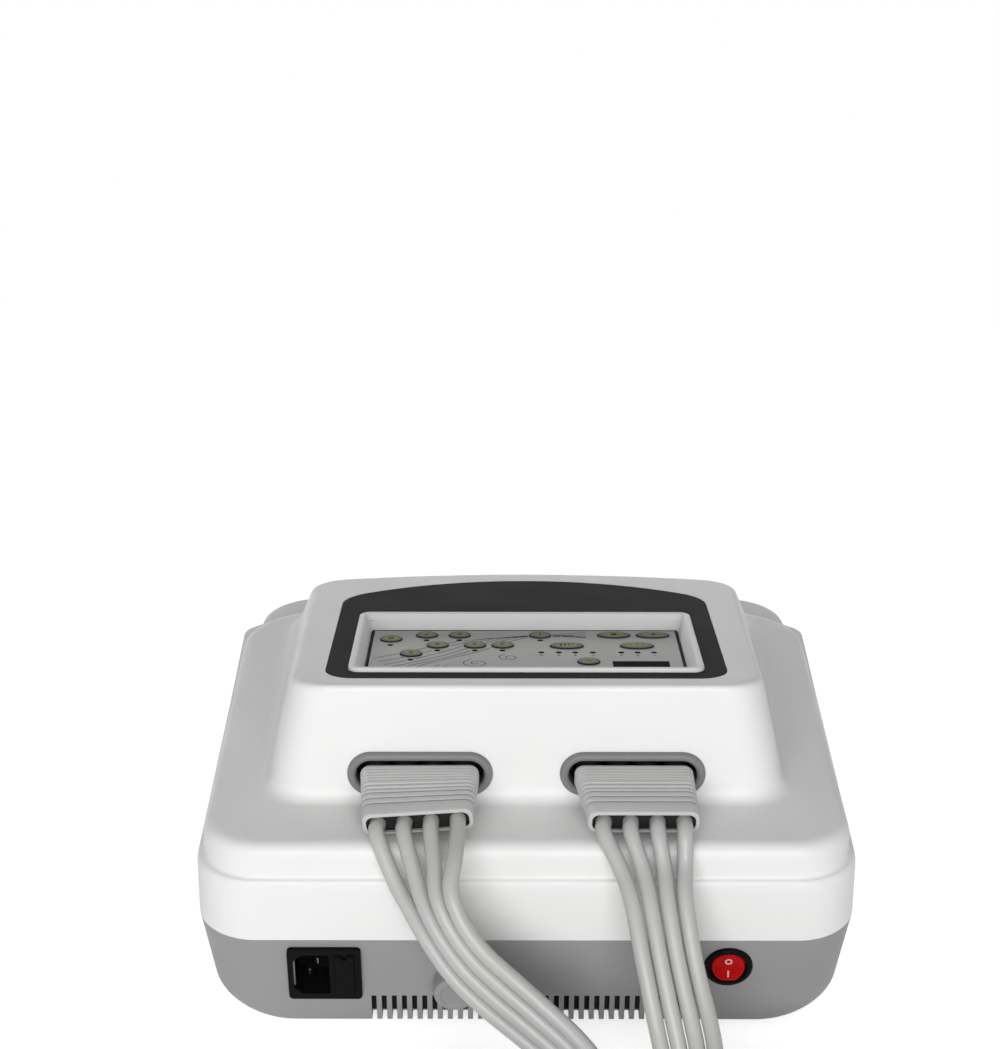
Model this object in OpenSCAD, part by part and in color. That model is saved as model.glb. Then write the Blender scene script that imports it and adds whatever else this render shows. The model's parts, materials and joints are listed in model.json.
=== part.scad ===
// Compression therapy pump: a desktop air pump whose eight hoses fill the chambers of a compression garment.
// Millimetres, +Z up. The keypad side faces -Y and the rear wall +Y. The origin is on the desk, in the middle of
// the width and of the length from the bumper to the filter cap.

/* [Housing] */
// Width across the housings at the parting line
body_w = 310; // [304:1:316]
// Length from the bumper to the rear wall at the parting line
body_len = 291; // [287:1:296]
// Height of the base tray, from its foot to the parting line
base_h = 52; // [50:1:55]
// Wall thickness of both mouldings
wall = 3; // [2.6:0.1:3.2]
// How far each side of the base leans in at its foot
side_tuck = 7; // [5:0.5:9]
// How far the rear wall leans in at its foot
rear_tuck = 6; // [4:0.5:8]
// How far the bumper leans in at its foot
front_tuck = 7; // [5:0.5:9]
// Radius of the base's rounded lower edge at the sides
foot_r = 14; // [12:0.5:16]
// Radius of its lower edge at the rear and front
foot_end_r = 2; // [1:0.5:3]
// Corner radius at the rear, seen from above
rear_corner_r = 29; // [25:1:34]
// How much the bumper is narrower than the body, at each side
bumper_step = 9; // [7:0.5:11]
// Corner radius of the bumper at the parting line, seen from above
bumper_corner_r = 24; // [20:1:28]
// Corner radius of the bumper at its foot
bumper_foot_r = 15; // [12:1:20]
// Bow of the bumper's front
bumper_bow = 2.5; // [1:0.5:4]
// Length of the bumper ahead of the body's own front corners
bumper_len = 31; // [28:1:34]
// Height of the locating lip that rises inside the upper housing
lip_h = 2; // [1.5:0.5:3]
// Height of the rubber feet under the base
foot_h = 2; // [1.5:0.5:3]

/* [Shoulder and console] */
// Height of the ledge above the parting line, midway along
ledge_h = 27; // [25:1:29]
// Rise of the ledge per millimetre towards the rear
ledge_slope = 0.035; // [0.02:0.005:0.05]
// How far the shoulder stands in from the ledge's edge
shoulder_step = 3.5; // [3:0.5:5]
// Height of the shoulder above the parting line, midway along
shoulder_h = 41; // [39:1:43]
// Rise of the shoulder per millimetre towards the rear
shoulder_slope = 0.0626; // [0.05:0.001:0.07]
// Radius of the shoulder's bowed front, seen from above
shoulder_front_r = 236; // [220:1:250]
// Width of the console's walls at the shoulder
console_foot_w = 246; // [242:1:250]
// Width of the console's top at the rear
console_w = 220; // [216:1:224]
// Width that the console's top gains towards the front, as a share
console_flare = 0.027; // [0.01:0.001:0.04]
// Distance from the console's rear edge to the body's rear
console_setback = 51.5; // [50:0.5:54]
// Length of the console's top, seen from above
console_len = 202; // [200:1:206]
// Height of the console's rear edge above the base's foot
console_h = 159; // [157:1:161]
// Slope of the console's top towards the user, degrees
panel_tilt = 14; // [13.5:0.1:14.5]
// Corner radius of the console, seen from above
console_corner_r = 20; // [17:1:24]
// Bow of the console's front edge
console_bow = 11; // [9:1:13]

/* [Control panel] */
// Thickness of the dark trim, which is also the depth of its recess
trim_t = 1.2; // [1:0.1:1.4]
// Width of the dark trim
trim_w = 190; // [186:1:192]
// Length of the dark trim along the slope
trim_len = 181; // [179:1:184]
// Distance from the console's rear edge to the trim, along the slope
trim_setback = 11; // [9:0.5:13]
// Radius of the trim's rounded front
trim_front_r = 147; // [140:1:155]
// Width of the raised bezel
bezel_w = 169; // [167:1:171]
// Length of the raised bezel along the slope
bezel_len = 101; // [100:1:103]
// Height of the bezel above the console's top
bezel_h = 2; // [1.5:0.1:2.5]
// Width of the keypad's face
keypad_w = 156.6; // [155:0.2:158]
// Length of the keypad's face along the slope
keypad_len = 88; // [87:0.5:89]
// Depth of the keypad's face below the console's top
keypad_depth = 6; // [5:0.1:6.5]
// Thickness of the keypad's face
overlay_t = 1.2; // [1:0.1:1.5]
// Width of the dark gasket round the keypad's face
gasket_w = 0.9; // [0.6:0.1:1.2]
// Diameter of the round buttons
button_d = 11.2; // [10:0.1:11.6]
// Length of the oval buttons
oval_l = 17; // [15:0.5:17.5]
// Width of the oval buttons
oval_w = 10.5; // [9:0.5:11]
// How far a button stands above the keypad's face
button_proud = 0.8; // [0.7:0.1:1.2]
// Travel of the buttons
button_travel = 0.6; // [0.4:0.1:0.6]
// Diameter of the indicator lights
led_d = 3; // [2.5:0.1:3.2]
// Width of the display window
display_w = 27.5; // [26:0.5:28]
// Length of the display window along the slope
display_l = 20; // [18:0.5:20.5]

/* [Rear fittings] */
// Distance of each hose port from the middle
port_x = 50; // [48:0.5:52]
// Height of the ports above the base's foot
port_z = 113.5; // [112:0.5:115]
// Width of a port's collar
collar_w = 68.5; // [67:0.5:70]
// Height of a port's collar
collar_h = 22.6; // [21.5:0.1:23.5]
// Width of the collar's rounded band
collar_band = 4.2; // [3.8:0.1:4.6]
// How far a collar stands off the wall
collar_proud = 3.6; // [3:0.1:4.2]
// Distance of the power inlet and of the switch from the middle
fitting_x = 94.5; // [92:0.5:96]
// Height of the power inlet above the base's foot
inlet_z = 32; // [31:0.5:33]
// Width of the power inlet's flange
inlet_w = 34.5; // [33:0.5:36]
// Height of the power inlet's flange
inlet_h = 31.5; // [30.5:0.5:32.5]
// Height of the switch above the base's foot
switch_z = 36; // [34:0.5:37]
// Diameter of the switch's bezel
switch_d = 23; // [22:0.1:24]
// Tilt of the rocker each way from level, degrees
rocker_tilt = 8; // [6:0.5:8]
// Travel of the fuse drawer
drawer_travel = 14; // [10:1:16]
// Distance of the filter cap from the middle
cap_x = 33.5; // [30:0.5:36]
// Height of the filter cap above the base's foot
cap_z = 27; // [26.5:0.5:29]
// Diameter of the filter cap
cap_d = 20; // [18:0.5:20]
// How far the filter cap stands off the wall
cap_proud = 11; // [9:0.5:13]
// Number of vent slots
vent_n = 31; // [25:2:31]
// Spacing of the vent slots
vent_pitch = 4.8; // [4.4:0.1:4.8]
// Width of a vent slot
vent_w = 2.4; // [2:0.1:2.6]
// Height of the vent slots above the base's foot
vent_top = 16.5; // [14:0.5:17]
// Half width of the finger arch at the front
arch_half_w = 77; // [72:1:80]
// Height of the finger arch
arch_h = 23; // [20:1:25]
// Depth of the finger arch behind the bumper's foot
arch_depth = 23; // [20:1:26]

/* [Hoses] */
// Outside diameter of a hose
hose_d = 7.5; // [7.2:0.1:7.6]
// Spacing of the hoses where they leave a plug
plug_pitch = 12.3; // [12:0.1:12.6]
// Spacing of the hoses where they run together
hose_pitch = 8; // [8:0.1:8.2]
// Width of a plug at the port
plug_w = 56; // [54:0.5:57]
// Height of a plug
plug_h = 13.4; // [13:0.1:13.8]
// Length of a plug, from inside its collar
plug_len = 33.5; // [31:0.5:35]
// Droop of a plug's end below its port's axis, degrees
plug_droop = 14; // [11:1:16]
// Twist of the left plug, degrees
plug_twist = 5; // [0:1:8]
// Sideways pull on the right plug's end
plug_sway = 3.7; // [0:0.1:5]
// Number of grip grooves round a plug
groove_n = 5; // [4:1:5]
// Depth of the pocket in a plug's end, where its hoses come out
pocket_len = 5; // [4:0.5:6]
// Radius of the outermost turn of a coil
coil_r = 61; // [61:0.5:63]
// Spacing of the turns of a coil
coil_pitch = 8.1; // [8:0.05:8.2]
// Turns in a coil
coil_turns = 3.1; // [3:0.05:3.15]
// Radius of a hose's last bend, inside the coil
curl_r = 28; // [27.5:0.5:29]

/* [Hidden] */
base_lean = atan(rear_tuck / base_h);
cap_reach = cap_proud * cos(base_lean) + cap_d / 2 * sin(base_lean) - rear_tuck * (1 - cap_z / base_h);
rear_y = (body_len - cap_reach) / 2;
front_y = rear_y - body_len;
split_z = base_h;
rim_w = wall / 2 - 0.1;             // thickness of the locating lip
ledge_z = split_z + ledge_h;
shoulder_z = split_z + shoulder_h;
console_rear_y = rear_y - console_setback;
console_front_y = console_rear_y - console_len;
top_slope = tan(panel_tilt);
top_z = console_h - top_slope * console_rear_y;
console_foot_rear_y = console_rear_y + 4.6;
console_foot_front_y = console_front_y - 2.4;
wall_low = [console_foot_rear_y, shoulder_z + 5.5 + shoulder_slope * console_foot_rear_y];
wall_high = [console_rear_y + 0.4, top_z - 5 + top_slope * (console_rear_y + 0.4)];
console_lean = atan((wall_low[0] - wall_high[0]) / (wall_high[1] - wall_low[1]));
port_y = wall_high[0] + (wall_high[1] - port_z) * tan(console_lean);

keypad_rear_s = -27.4;              // distances along the slope, from the console's rear edge
keypad_mid_s = keypad_rear_s - keypad_len / 2;
bezel_rear_s = keypad_rear_s + 6.5;
overlay_z = -keypad_depth - overlay_t;
board_z = overlay_z - 3.8;
board_t = 1.6;
fit = 0.2;                          // clearance round buttons, lenses and set-in pieces
skirt_t = 2;                        // wall of the bezel's skirt behind the panel

collar_r = collar_h / 2;
collar_half = collar_w / 2 - collar_r;
port_r = collar_r - collar_band;
sleeve_r = port_r + 1.8;
barrel_pitch = 13.4;
barrel_r = 6.5;
insert_len = 12;
nipple_r = 3;

socket_w = 17;
socket_h = 24.5;
drawer_w = 9;
drawer_h = 24;
switch_body_r = 10;
rocker_r = 7.9;
rocker_pivot_z = -3;

// Places on the keypad's face, measured in from its edges
keypad_left = -keypad_w / 2;
keypad_right = keypad_w / 2;
keypad_front_s = keypad_rear_s - keypad_len;
oval_gap = 2.7;                     // between the start and stop buttons
start_x = keypad_left + 5 + oval_l / 2;
TIME_BUTTONS = [for (s = [14.9, 30.9]) [keypad_left + 47.5, keypad_rear_s - s]];
OVAL_BUTTONS = [[keypad_left + 22.5, keypad_front_s + 29.8], [keypad_left + 57.5, keypad_front_s + 29.8],
                [start_x, keypad_front_s + 10.5], [start_x + oval_l + oval_gap, keypad_front_s + 10.5]];
ZONE_BUTTONS = [for (p = [[86, 10.4], [67, 28.5], [53.2, 28.5], [34.6, 28.5],
                          [21.8, 43.4], [45.2, 10.4], [28.7, 10.4], [10.8, 17.7]])
    [keypad_right - p[0], keypad_front_s + p[1]]];
DISPLAY = [keypad_left + 22, keypad_rear_s - 22.2];
LEDS = concat([for (x = [14.6, 22.7, 30.8, 44.9, 53.6, 61.8, 70.4]) [keypad_left + x, keypad_front_s + 40.8]],
              [for (i = [0:7]) ZONE_BUTTONS[i] + [0, i == 4 || i == 7 ? 10.2 : 8.9]]);

SCREWS = [for (x = [-1, 1], y = [rear_y - 70, front_y + 66]) [x * (body_w / 2 - 57), y]];
FEET = [for (x = [-1, 1], y = [rear_y - 32, front_y + 36]) [x * (body_w / 2 - 57), y]];
screw_seat_z = 30;
boss_top_z = 40;
screw_d = 3.5;
screw_head_d = 6.8;
screw_head_h = 3;
screw_bite = 10;                    // above the top of the boss
foot_d = 22;
valve_y = port_y - 19;
valve_block = [2 * (port_x + 1.5 * barrel_pitch + 9.9), 22, 18];
valve_d = 12.4;
valve_h = 20;
tube_d = 5;
tube_top_gap = 9.6;                 // from a tube's top to the port's axis
LANES = [for (k = [0:3]) (1.5 - k)];    // places of the four hoses across a bundle, in pitches

// Routes of the two hose bundles: x, y, z, how far the ribbon of four has turned on edge, and its spacing
LEFT_ROUTE = [
    [46.5, 150.5, 101, 40, 11], [43.6, 161.5, 92, 64, 9.4], [36.8, 170, 80.5, 80, 8.2], [26.4, 177, 68, 88, 8],
    [13.1, 182, 56, 89, 8], [-1.8, 187.5, 44.5, 90, 8], [-16.1, 194.5, 34.5, 90, 8], [-27.4, 203, 26.5, 90, 8],
    [-33.8, 213.5, 21, 90, 8], [-36, 225.5, 17.5, 90, 8], [-35.8, 236.5, 15.8, 90, 8], [-34, 247.5, 15.8, 90, 8],
    [-32, 257.5, 15.8, 90, 8], [-31, 267.5, 15.8, 90, 8]];
RIGHT_ROUTE = [
    [-57.4, 145.5, 98, 0, 9.8], [-59.2, 156.5, 90, 0, 8.3], [-61.3, 165.5, 79.5, 0, 8], [-63.7, 173.5, 68, 1, 8],
    [-66.7, 181.5, 56, 5, 8], [-69.8, 189.5, 44.5, 13, 8], [-72.3, 197.5, 34.5, 27, 8], [-73.6, 206.5, 26.5, 44, 8],
    [-74, 216.5, 21, 62, 8], [-73.4, 228.5, 17.5, 77, 8], [-71, 240.5, 15.8, 87, 8], [-68, 251.5, 15.8, 90, 8],
    [-66, 259.5, 15.8, 90, 8], [-65.5, 267.5, 15.8, 90, 8]];

WHITE = [0.93, 0.93, 0.92];
GREY = [0.60, 0.60, 0.60];
DARK = [0.16, 0.16, 0.16];
HOSE = [0.68, 0.68, 0.67];
BLACK = [0.06, 0.06, 0.06];

// ---- outlines, each the +X half from the rear to the front, always with the same number of points ----

function arc(c, r, a0, a1, n) =
    [for (i = [0:n]) let (a = a0 + (a1 - a0) * i / n) [c[0] + r * cos(a), c[1] + r * sin(a)]];
function rear_half(w, y, r) = concat([[0, y]], arc([w - r, y - r], r, 90, 0, 8), [[w, 0]]);

// The body and its bumper, drawn in by side, rear and front insets; low is 1 at the base's foot
function body_half(side, rear, front, low = 0) =
    let (w = body_w / 2 - side, b = w - bumper_step * (1 + low / 3), y = front_y + front,
         r = bumper_corner_r + (bumper_foot_r - bumper_corner_r) * low,
         corner = front_y + bumper_len + 13)
    concat(rear_half(w, rear_y - rear, rear_corner_r),
        arc([w - 12, corner], 12, 0, -60, 3),
        [[b, front_y + bumper_len]],
        arc([b - r, y + bumper_bow + r], r, 0, -90, 5),
        [for (i = [2:-1:0]) [(b - r) * i / 3, y + bumper_bow * pow(i / 3, 2)]]);

// The shoulder, whose front is one bowed arc between rounded corners
function shoulder_half(inset) =
    let (w = body_w / 2 - shoulder_step - inset, r = 34,
         big = shoulder_front_r - inset, cy = front_y + 2 + shoulder_front_r,
         y = cy - sqrt(pow(big - r, 2) - pow(w - r, 2)), a = atan2(y - cy, w - r),
         bow = arc([0, cy], big, a, -90, 8))
    concat(rear_half(w, rear_y - shoulder_step - inset, rear_corner_r - 1),
        arc([w - r, y], r, 0, a, 5), [for (i = [1:8]) bow[i]]);

// The console, at its foot or its top
function console_half(w, y_rear, y_front, flare) =
    let (r = console_corner_r, turn = 77, xe = w - r + r * cos(turn),
         half = concat(rear_half(w, y_rear, r),
             arc([w - r, y_front + console_bow + r * sin(turn)], r, 0, -turn, 7),
             [for (i = [5:-1:0]) [xe * i / 6, y_front + console_bow * pow(i / 6, 2)]]))
    [for (p = half) [p[0] * (1 + flare * (y_rear - p[1]) / (y_rear - y_front)), p[1]]];
function console_top(inset) =
    console_half(console_w / 2 - inset, console_rear_y - inset, console_front_y + inset, console_flare);
function console_foot(outset) =
    console_half(console_foot_w / 2 + outset, console_foot_rear_y + outset,
        console_foot_front_y - outset, 0);

function whole(half) = concat(half, [for (i = [len(half) - 2:-1:1]) [-half[i][0], half[i][1]]]);
function ring(half, z, slope = 0) = [for (p = whole(half)) [p[0], p[1], z + slope * p[1]]];

// ---- shells made of rings ----

function sum(v, i = 0) = i == len(v) - 1 ? v[i] : v[i] + sum(v, i + 1);

// A closed solid through rings of equal length, with a fan over each end
module skin(rings) {
    n = len(rings[0]);
    m = len(rings);
    points = concat([sum(rings[0]) / n], [for (r = rings) each r], [sum(rings[m - 1]) / n]);
    last = len(points) - 1;
    polyhedron(points, concat(
        [for (j = [0:n - 1]) [0, 1 + (j + 1) % n, 1 + j]],
        [for (i = [0:m - 2], j = [0:n - 1]) let (a = 1 + i * n, k = (j + 1) % n) each
            [[a + j, a + k, a + n + k], [a + j, a + n + k, a + n + j]]],
        [for (j = [0:n - 1]) let (a = 1 + (m - 1) * n) [last, a + j, a + (j + 1) % n]]));
}

// A closed band through rings of equal length, whose last ring meets the first
module band(rings) {
    n = len(rings[0]);
    m = len(rings);
    polyhedron([for (r = rings) each r],
        [for (i = [0:m - 1], j = [0:n - 1]) let (a = i * n, b = (i + 1) % m * n, k = (j + 1) % n) each
            [[a + j, a + k, b + k], [a + j, b + k, b + j]]]);
}

module on_feet() { translate([0, 0, foot_h]) children(); }

// Frame of the sloping panel: X right, Y up the slope from the console's rear edge, Z out of the panel
module on_panel() {
    on_feet() translate([0, console_rear_y, console_h]) rotate([panel_tilt, 0, 0]) children();
}

// Frame of the leaning rear wall, seen from behind: X right, Y up, Z out of the wall
module on_rear(x, z) {
    on_feet() translate([x, rear_y - rear_tuck * (1 - z / base_h), z])
        rotate([-(90 + base_lean), 0, 0]) rotate([0, 0, 180]) children();
}

// Frame of a hose port, seen from behind; side is 1 for the left port and -1 for the right one
module on_port(side) {
    on_feet() translate([side * port_x, port_y, port_z])
        rotate([-(90 - console_lean), 0, 0]) rotate([0, 0, 180]) children();
}

module rounded_rect(w, l, r) {
    square([w - 2 * r, l], center = true);
    square([w, l - 2 * r], center = true);
    for (x = [-1, 1], y = [-1, 1])
        translate([x * (w / 2 - r), y * (l / 2 - r)]) circle(r = r, $fn = 48);
}

module slot_shape(half, r) {
    square([2 * half, 2 * r], center = true);
    for (x = [-1, 1]) translate([x * half, 0]) circle(r = r, $fn = 64);
}

// ---- base housing ----

// How far an edge of radius r draws in at a height
function rounding(r, z) = r - sqrt(pow(r, 2) - pow(max(r - z, 0), 2));
BASE_LEVELS = concat([for (a = [90:-18:0]) foot_r * (1 - sin(a))], [base_h]);

// The base's outline at height z, drawn in by t
function base_half(z, t) =
    let (low = 1 - z / base_h)
    body_half(side_tuck * low + rounding(foot_r, z) + t,
        rear_tuck * low + rounding(foot_end_r, z) + t,
        front_tuck * low + rounding(foot_end_r, z) + t, low);

module base_solid() { skin([for (z = BASE_LEVELS) ring(base_half(z, 0), z)]); }

module base_shell() {
    inner = wall - rim_w;
    skin(concat(
        [for (z = BASE_LEVELS) ring(base_half(z, 0), z)],
        [ring(body_half(inner, inner, inner), split_z),
         ring(body_half(inner, inner, inner), split_z + lip_h),
         ring(body_half(wall, wall, wall), split_z + lip_h)],
        [for (i = [6:-1:3]) ring(base_half(BASE_LEVELS[i], wall), BASE_LEVELS[i])],
        [ring(base_half(BASE_LEVELS[2], wall), wall)]));
}

arch_r = (pow(arch_half_w, 2) + pow(arch_h, 2)) / (2 * arch_h);
arch_back_y = front_y + front_tuck + arch_depth;

module arch_solid(r, y_back) {
    translate([0, y_back, arch_h - arch_r]) rotate([90, 0, 0]) cylinder(r = r, h = 60, $fn = 180);
}

module base_housing() {
    color(GREY) on_feet() difference() {
        union() {
            base_shell();
            intersection() {
                base_solid();
                arch_solid(arch_r + wall, arch_back_y + wall);
            }
            for (p = SCREWS) translate([p[0], p[1], wall / 2])
                cylinder(d = 11, h = boss_top_z - wall / 2, $fn = 32);
            for (x = [-1, 1], y = [-1, 1])
                translate([board_x + x * (board_w / 2 - 5), board_y + y * (board_l / 2 - 5), wall / 2])
                    cylinder(d = 7, h = board_seat_z - wall / 2, $fn = 32);
        }
        arch_solid(arch_r, arch_back_y);
        for (p = SCREWS) translate([p[0], p[1], -1]) {
            cylinder(d = screw_head_d + 0.8, h = screw_seat_z + 1, $fn = 32);
            cylinder(d = screw_d + 0.4, h = boss_top_z + 2, $fn = 32);
        }
        translate([0, 0, -foot_h]) {
            on_rear(fitting_x, inlet_z) translate([0, 0, -10])
                linear_extrude(20) rounded_rect(28.4, 27.4, 1.5);
            on_rear(-fitting_x, switch_z) translate([0, 0, -10])
                cylinder(r = switch_body_r + fit, h = 20, $fn = 64);
            on_rear(cap_x, cap_z) translate([0, 0, -10]) cylinder(d = 14.4, h = 20, $fn = 48);
        }
        for (i = [0:vent_n - 1])
            translate([(i - (vent_n - 1) / 2) * vent_pitch - vent_w / 2, rear_y - 14, -1])
                cube([vent_w, 20, vent_top + 1]);
    }
}

// ---- upper housing ----

module upper_shell() {
    foot = shoulder_slope;              // the console's foot follows the shoulder's slope
    skin(concat(
        [ring(console_top(5), top_z - wall - 0.1, top_slope),
         ring(console_top(wall + 0.6), top_z - wall - 3, top_slope),
         ring(console_foot(-wall), shoulder_z + 4, foot),
         ring(console_foot(4 - wall), shoulder_z - wall, foot),
         ring(shoulder_half(7), shoulder_z - wall, foot),
         ring(shoulder_half(wall), shoulder_z - 9, foot),
         ring(shoulder_half(wall), ledge_z - 2, ledge_slope),
         ring(body_half(wall + 1, wall + 1, wall + 1), ledge_z - wall - 1.6, ledge_slope),
         ring(body_half(wall, wall, wall), split_z + lip_h + 0.3),
         ring(body_half(wall - rim_w - fit, wall - rim_w - fit, wall - rim_w - fit), split_z + lip_h + 0.3),
         ring(body_half(wall - rim_w - fit, wall - rim_w - fit, wall - rim_w - fit), split_z)],
        [ring(body_half(0, 0, 0), split_z),
         ring(body_half(0.2, 0.4, 0.5), ledge_z - 7, ledge_slope),
         ring(body_half(0.8, 1, 1.6), ledge_z - 2, ledge_slope),
         ring(body_half(2.4, 2.6, 3.4), ledge_z, ledge_slope),
         ring(shoulder_half(0), ledge_z + 0.8, ledge_slope),
         ring(shoulder_half(0.6), shoulder_z - 6, foot),
         ring(shoulder_half(2.6), shoulder_z - 1.8, foot),
         ring(shoulder_half(7), shoulder_z, foot),
         ring(console_foot(5), shoulder_z + 0.3, foot),
         ring(console_foot(1.6), shoulder_z + 1.8, foot),
         ring(console_foot(0), shoulder_z + 5.5, foot),
         ring(console_top(-0.4), top_z - 5, top_slope),
         ring(console_top(0.8), top_z - 1.6, top_slope),
         ring(console_top(3), top_z, top_slope)]));
}

function trim_outline(gap) =
    let (w = trim_w / 2 + gap, r = 14, rear = -trim_setback + gap, f = 26,
         cy = -trim_setback - trim_len + trim_front_r, big = trim_front_r + gap,
         y = cy - sqrt(pow(big - f, 2) - pow(w - f, 2)), a = atan2(y - cy, w - f),
         half = concat(arc([w - r, rear - r], r, 90, 0, 8), arc([w - f, y], f, 0, a, 6),
             [for (i = [1:7]) let (b = a + (-90 - a) * i / 8) [big * cos(b), cy + big * sin(b)]]))
    concat(half, [[0, cy - big]], [for (i = [len(half) - 1:-1:0]) [-half[i][0], half[i][1]]]);

module upper_housing() {
    color(WHITE) difference() {
        union() {
            on_feet() upper_shell();
            on_feet() for (p = SCREWS) translate([p[0], p[1], boss_top_z])
                cylinder(d = 9, h = top_z + top_slope * p[1] - 1.6 - boss_top_z, $fn = 32);
        }
        on_panel() translate([0, 0, -trim_t]) linear_extrude(8) polygon(trim_outline(0.25));
        on_panel() translate([0, keypad_mid_s, -10])
            linear_extrude(12) rounded_rect(keypad_w + 2 * skirt_t + 0.8, keypad_len + 2 * skirt_t + 0.8, 3);
        for (side = [-1, 1]) on_port(side) {
            translate([0, 0, -12]) linear_extrude(24) slot_shape(collar_half, sleeve_r + 0.1);
            linear_extrude(8) slot_shape(collar_half, collar_r + 0.2);
        }
        on_feet() for (p = SCREWS) translate([p[0], p[1], boss_top_z - 1])
            cylinder(d = screw_d + 0.1, h = boss_top_z - screw_seat_z + 4, $fn = 32);
    }
}

// ---- control panel ----

module trim_panel() {
    color(DARK) on_panel() translate([0, 0, -trim_t]) linear_extrude(trim_t) difference() {
        polygon(trim_outline(0));
        translate([0, bezel_rear_s - bezel_len / 2]) rounded_rect(bezel_w + 0.4, bezel_len + 0.4, 6);
    }
}

// A rounded rectangle on the panel, from its half width, rear, front, height and corner radius
function panel_ring(w, rear, front, z, r) = concat(
    [for (p = arc([w - r, rear - r], r, 90, 0, 4)) [p[0], p[1], z]],
    [for (p = arc([w - r, front + r], r, 0, -90, 4)) [p[0], p[1], z]],
    [for (p = arc([r - w, front + r], r, -90, -180, 4)) [p[0], p[1], z]],
    [for (p = arc([r - w, rear - r], r, 180, 90, 4)) [p[0], p[1], z]]);
function outer_ring(inset, z) =
    panel_ring(bezel_w / 2 - inset, bezel_rear_s - inset, bezel_rear_s - bezel_len + inset, z, 6 - inset);
function inner_ring(outset, z) = panel_ring(keypad_w / 2 + outset, keypad_rear_s + outset,
    keypad_rear_s - keypad_len - outset, z, 2.5 + max(outset, -1));

module keypad_bezel() {
    color(WHITE) on_panel() band([
        outer_ring(0, -trim_t), outer_ring(0, bezel_h - 0.9), outer_ring(0.8, bezel_h),
        outer_ring(2.4, bezel_h), outer_ring(3, bezel_h - 0.4), inner_ring(0, -keypad_depth),
        inner_ring(0, overlay_z), inner_ring(-2.4, overlay_z), inner_ring(-2.4, overlay_z - 1.2),
        inner_ring(0, overlay_z - 1.2), inner_ring(0, board_z), inner_ring(skirt_t, board_z),
        inner_ring(skirt_t, -trim_t)]);
}

module face_shape(inset) { rounded_rect(keypad_w - 2 * inset, keypad_len - 2 * inset, 2.5 - inset / 2); }

module keypad_gasket() {
    color(BLACK) on_panel() translate([0, keypad_mid_s, overlay_z]) linear_extrude(overlay_t - 0.3) difference() {
        face_shape(fit / 2);
        face_shape(gasket_w);
    }
}

function ellipse(a, b, n = 40) = [for (i = [0:n - 1]) [a * cos(360 * i / n), b * sin(360 * i / n)]];

module keypad_overlay() {
    color([0.74, 0.75, 0.72]) on_panel() translate([0, 0, overlay_z]) linear_extrude(overlay_t) difference() {
        translate([0, keypad_mid_s]) face_shape(gasket_w + fit);
        for (p = concat(TIME_BUTTONS, ZONE_BUTTONS)) translate(p) circle(d = button_d + 2 * fit, $fn = 48);
        for (p = OVAL_BUTTONS) translate(p) polygon(ellipse(oval_l / 2 + fit, oval_w / 2 + fit));
        for (p = LEDS) translate(p) circle(d = led_d + fit, $fn = 32);
        translate(DISPLAY) square([display_w + fit, display_l + fit], center = true);
    }
}

module display_window() {
    color(BLACK) on_panel() translate([DISPLAY[0], DISPLAY[1], overlay_z])
        linear_extrude(overlay_t) square([display_w, display_l], center = true);
}

module display_module() {
    color([0.2, 0.2, 0.2]) on_panel() translate([DISPLAY[0], DISPLAY[1], board_z])
        linear_extrude(overlay_z - board_z) square([display_w - 1, display_l - 1], center = true);
}

button_top = -keypad_depth + button_proud;
flange_top = overlay_z - 0.2;

module round_button(p) {
    color([0.56, 0.57, 0.50]) on_panel() translate([p[0], p[1], 0]) rotate_extrude($fn = 64) polygon(concat(
        [[0, flange_top - 2.8], [2, flange_top - 2.8], [2, flange_top - 1],
         [button_d / 2 + 0.6, flange_top - 1], [button_d / 2 + 0.6, flange_top], [button_d / 2, flange_top],
         [button_d / 2, button_top - 0.4], [button_d / 2 - 0.4, button_top - 0.1]],
        [[button_d / 2 - 1.6, button_top - 0.15], [0, button_top]]));
}

module oval_button(p) {
    color([0.56, 0.57, 0.50]) on_panel() translate([p[0], p[1], 0]) {
        translate([0, 0, flange_top - 2.8]) cylinder(r = 2, h = 2.8, $fn = 32);
        translate([0, 0, flange_top - 1]) linear_extrude(1) polygon(ellipse(oval_l / 2 + 0.6, oval_w / 2 + 0.6));
        translate([0, 0, flange_top - 0.5]) linear_extrude(button_top - 0.3 - flange_top + 0.5)
            polygon(ellipse(oval_l / 2, oval_w / 2));
        translate([0, 0, button_top - 0.5]) linear_extrude(0.5) polygon(ellipse(oval_l / 2 - 0.5, oval_w / 2 - 0.5));
    }
}

module status_leds() {
    color([0.12, 0.12, 0.12]) on_panel() for (p = LEDS)
        translate([p[0], p[1], board_z]) cylinder(d = led_d, h = -keypad_depth - board_z, $fn = 32);
}

module keypad_board() {
    color([0.10, 0.30, 0.16]) on_panel() translate([0, keypad_mid_s, board_z - board_t])
        linear_extrude(board_t) rounded_rect(keypad_w + 2 * skirt_t - 0.6, keypad_len + 2 * skirt_t - 0.6, 2.5);
}

// ---- hose ports ----

module collar_profile() {
    translate([0, -wall - 3]) square([sleeve_r - port_r, wall + 3]);
    square([collar_band, collar_proud - 1.8]);
    translate([1.8, collar_proud - 1.8]) square([collar_band - 3.6, 1.8]);
    for (x = [1.8, collar_band - 1.8]) translate([x, collar_proud - 1.8]) circle(r = 1.8, $fn = 32);
}

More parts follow.
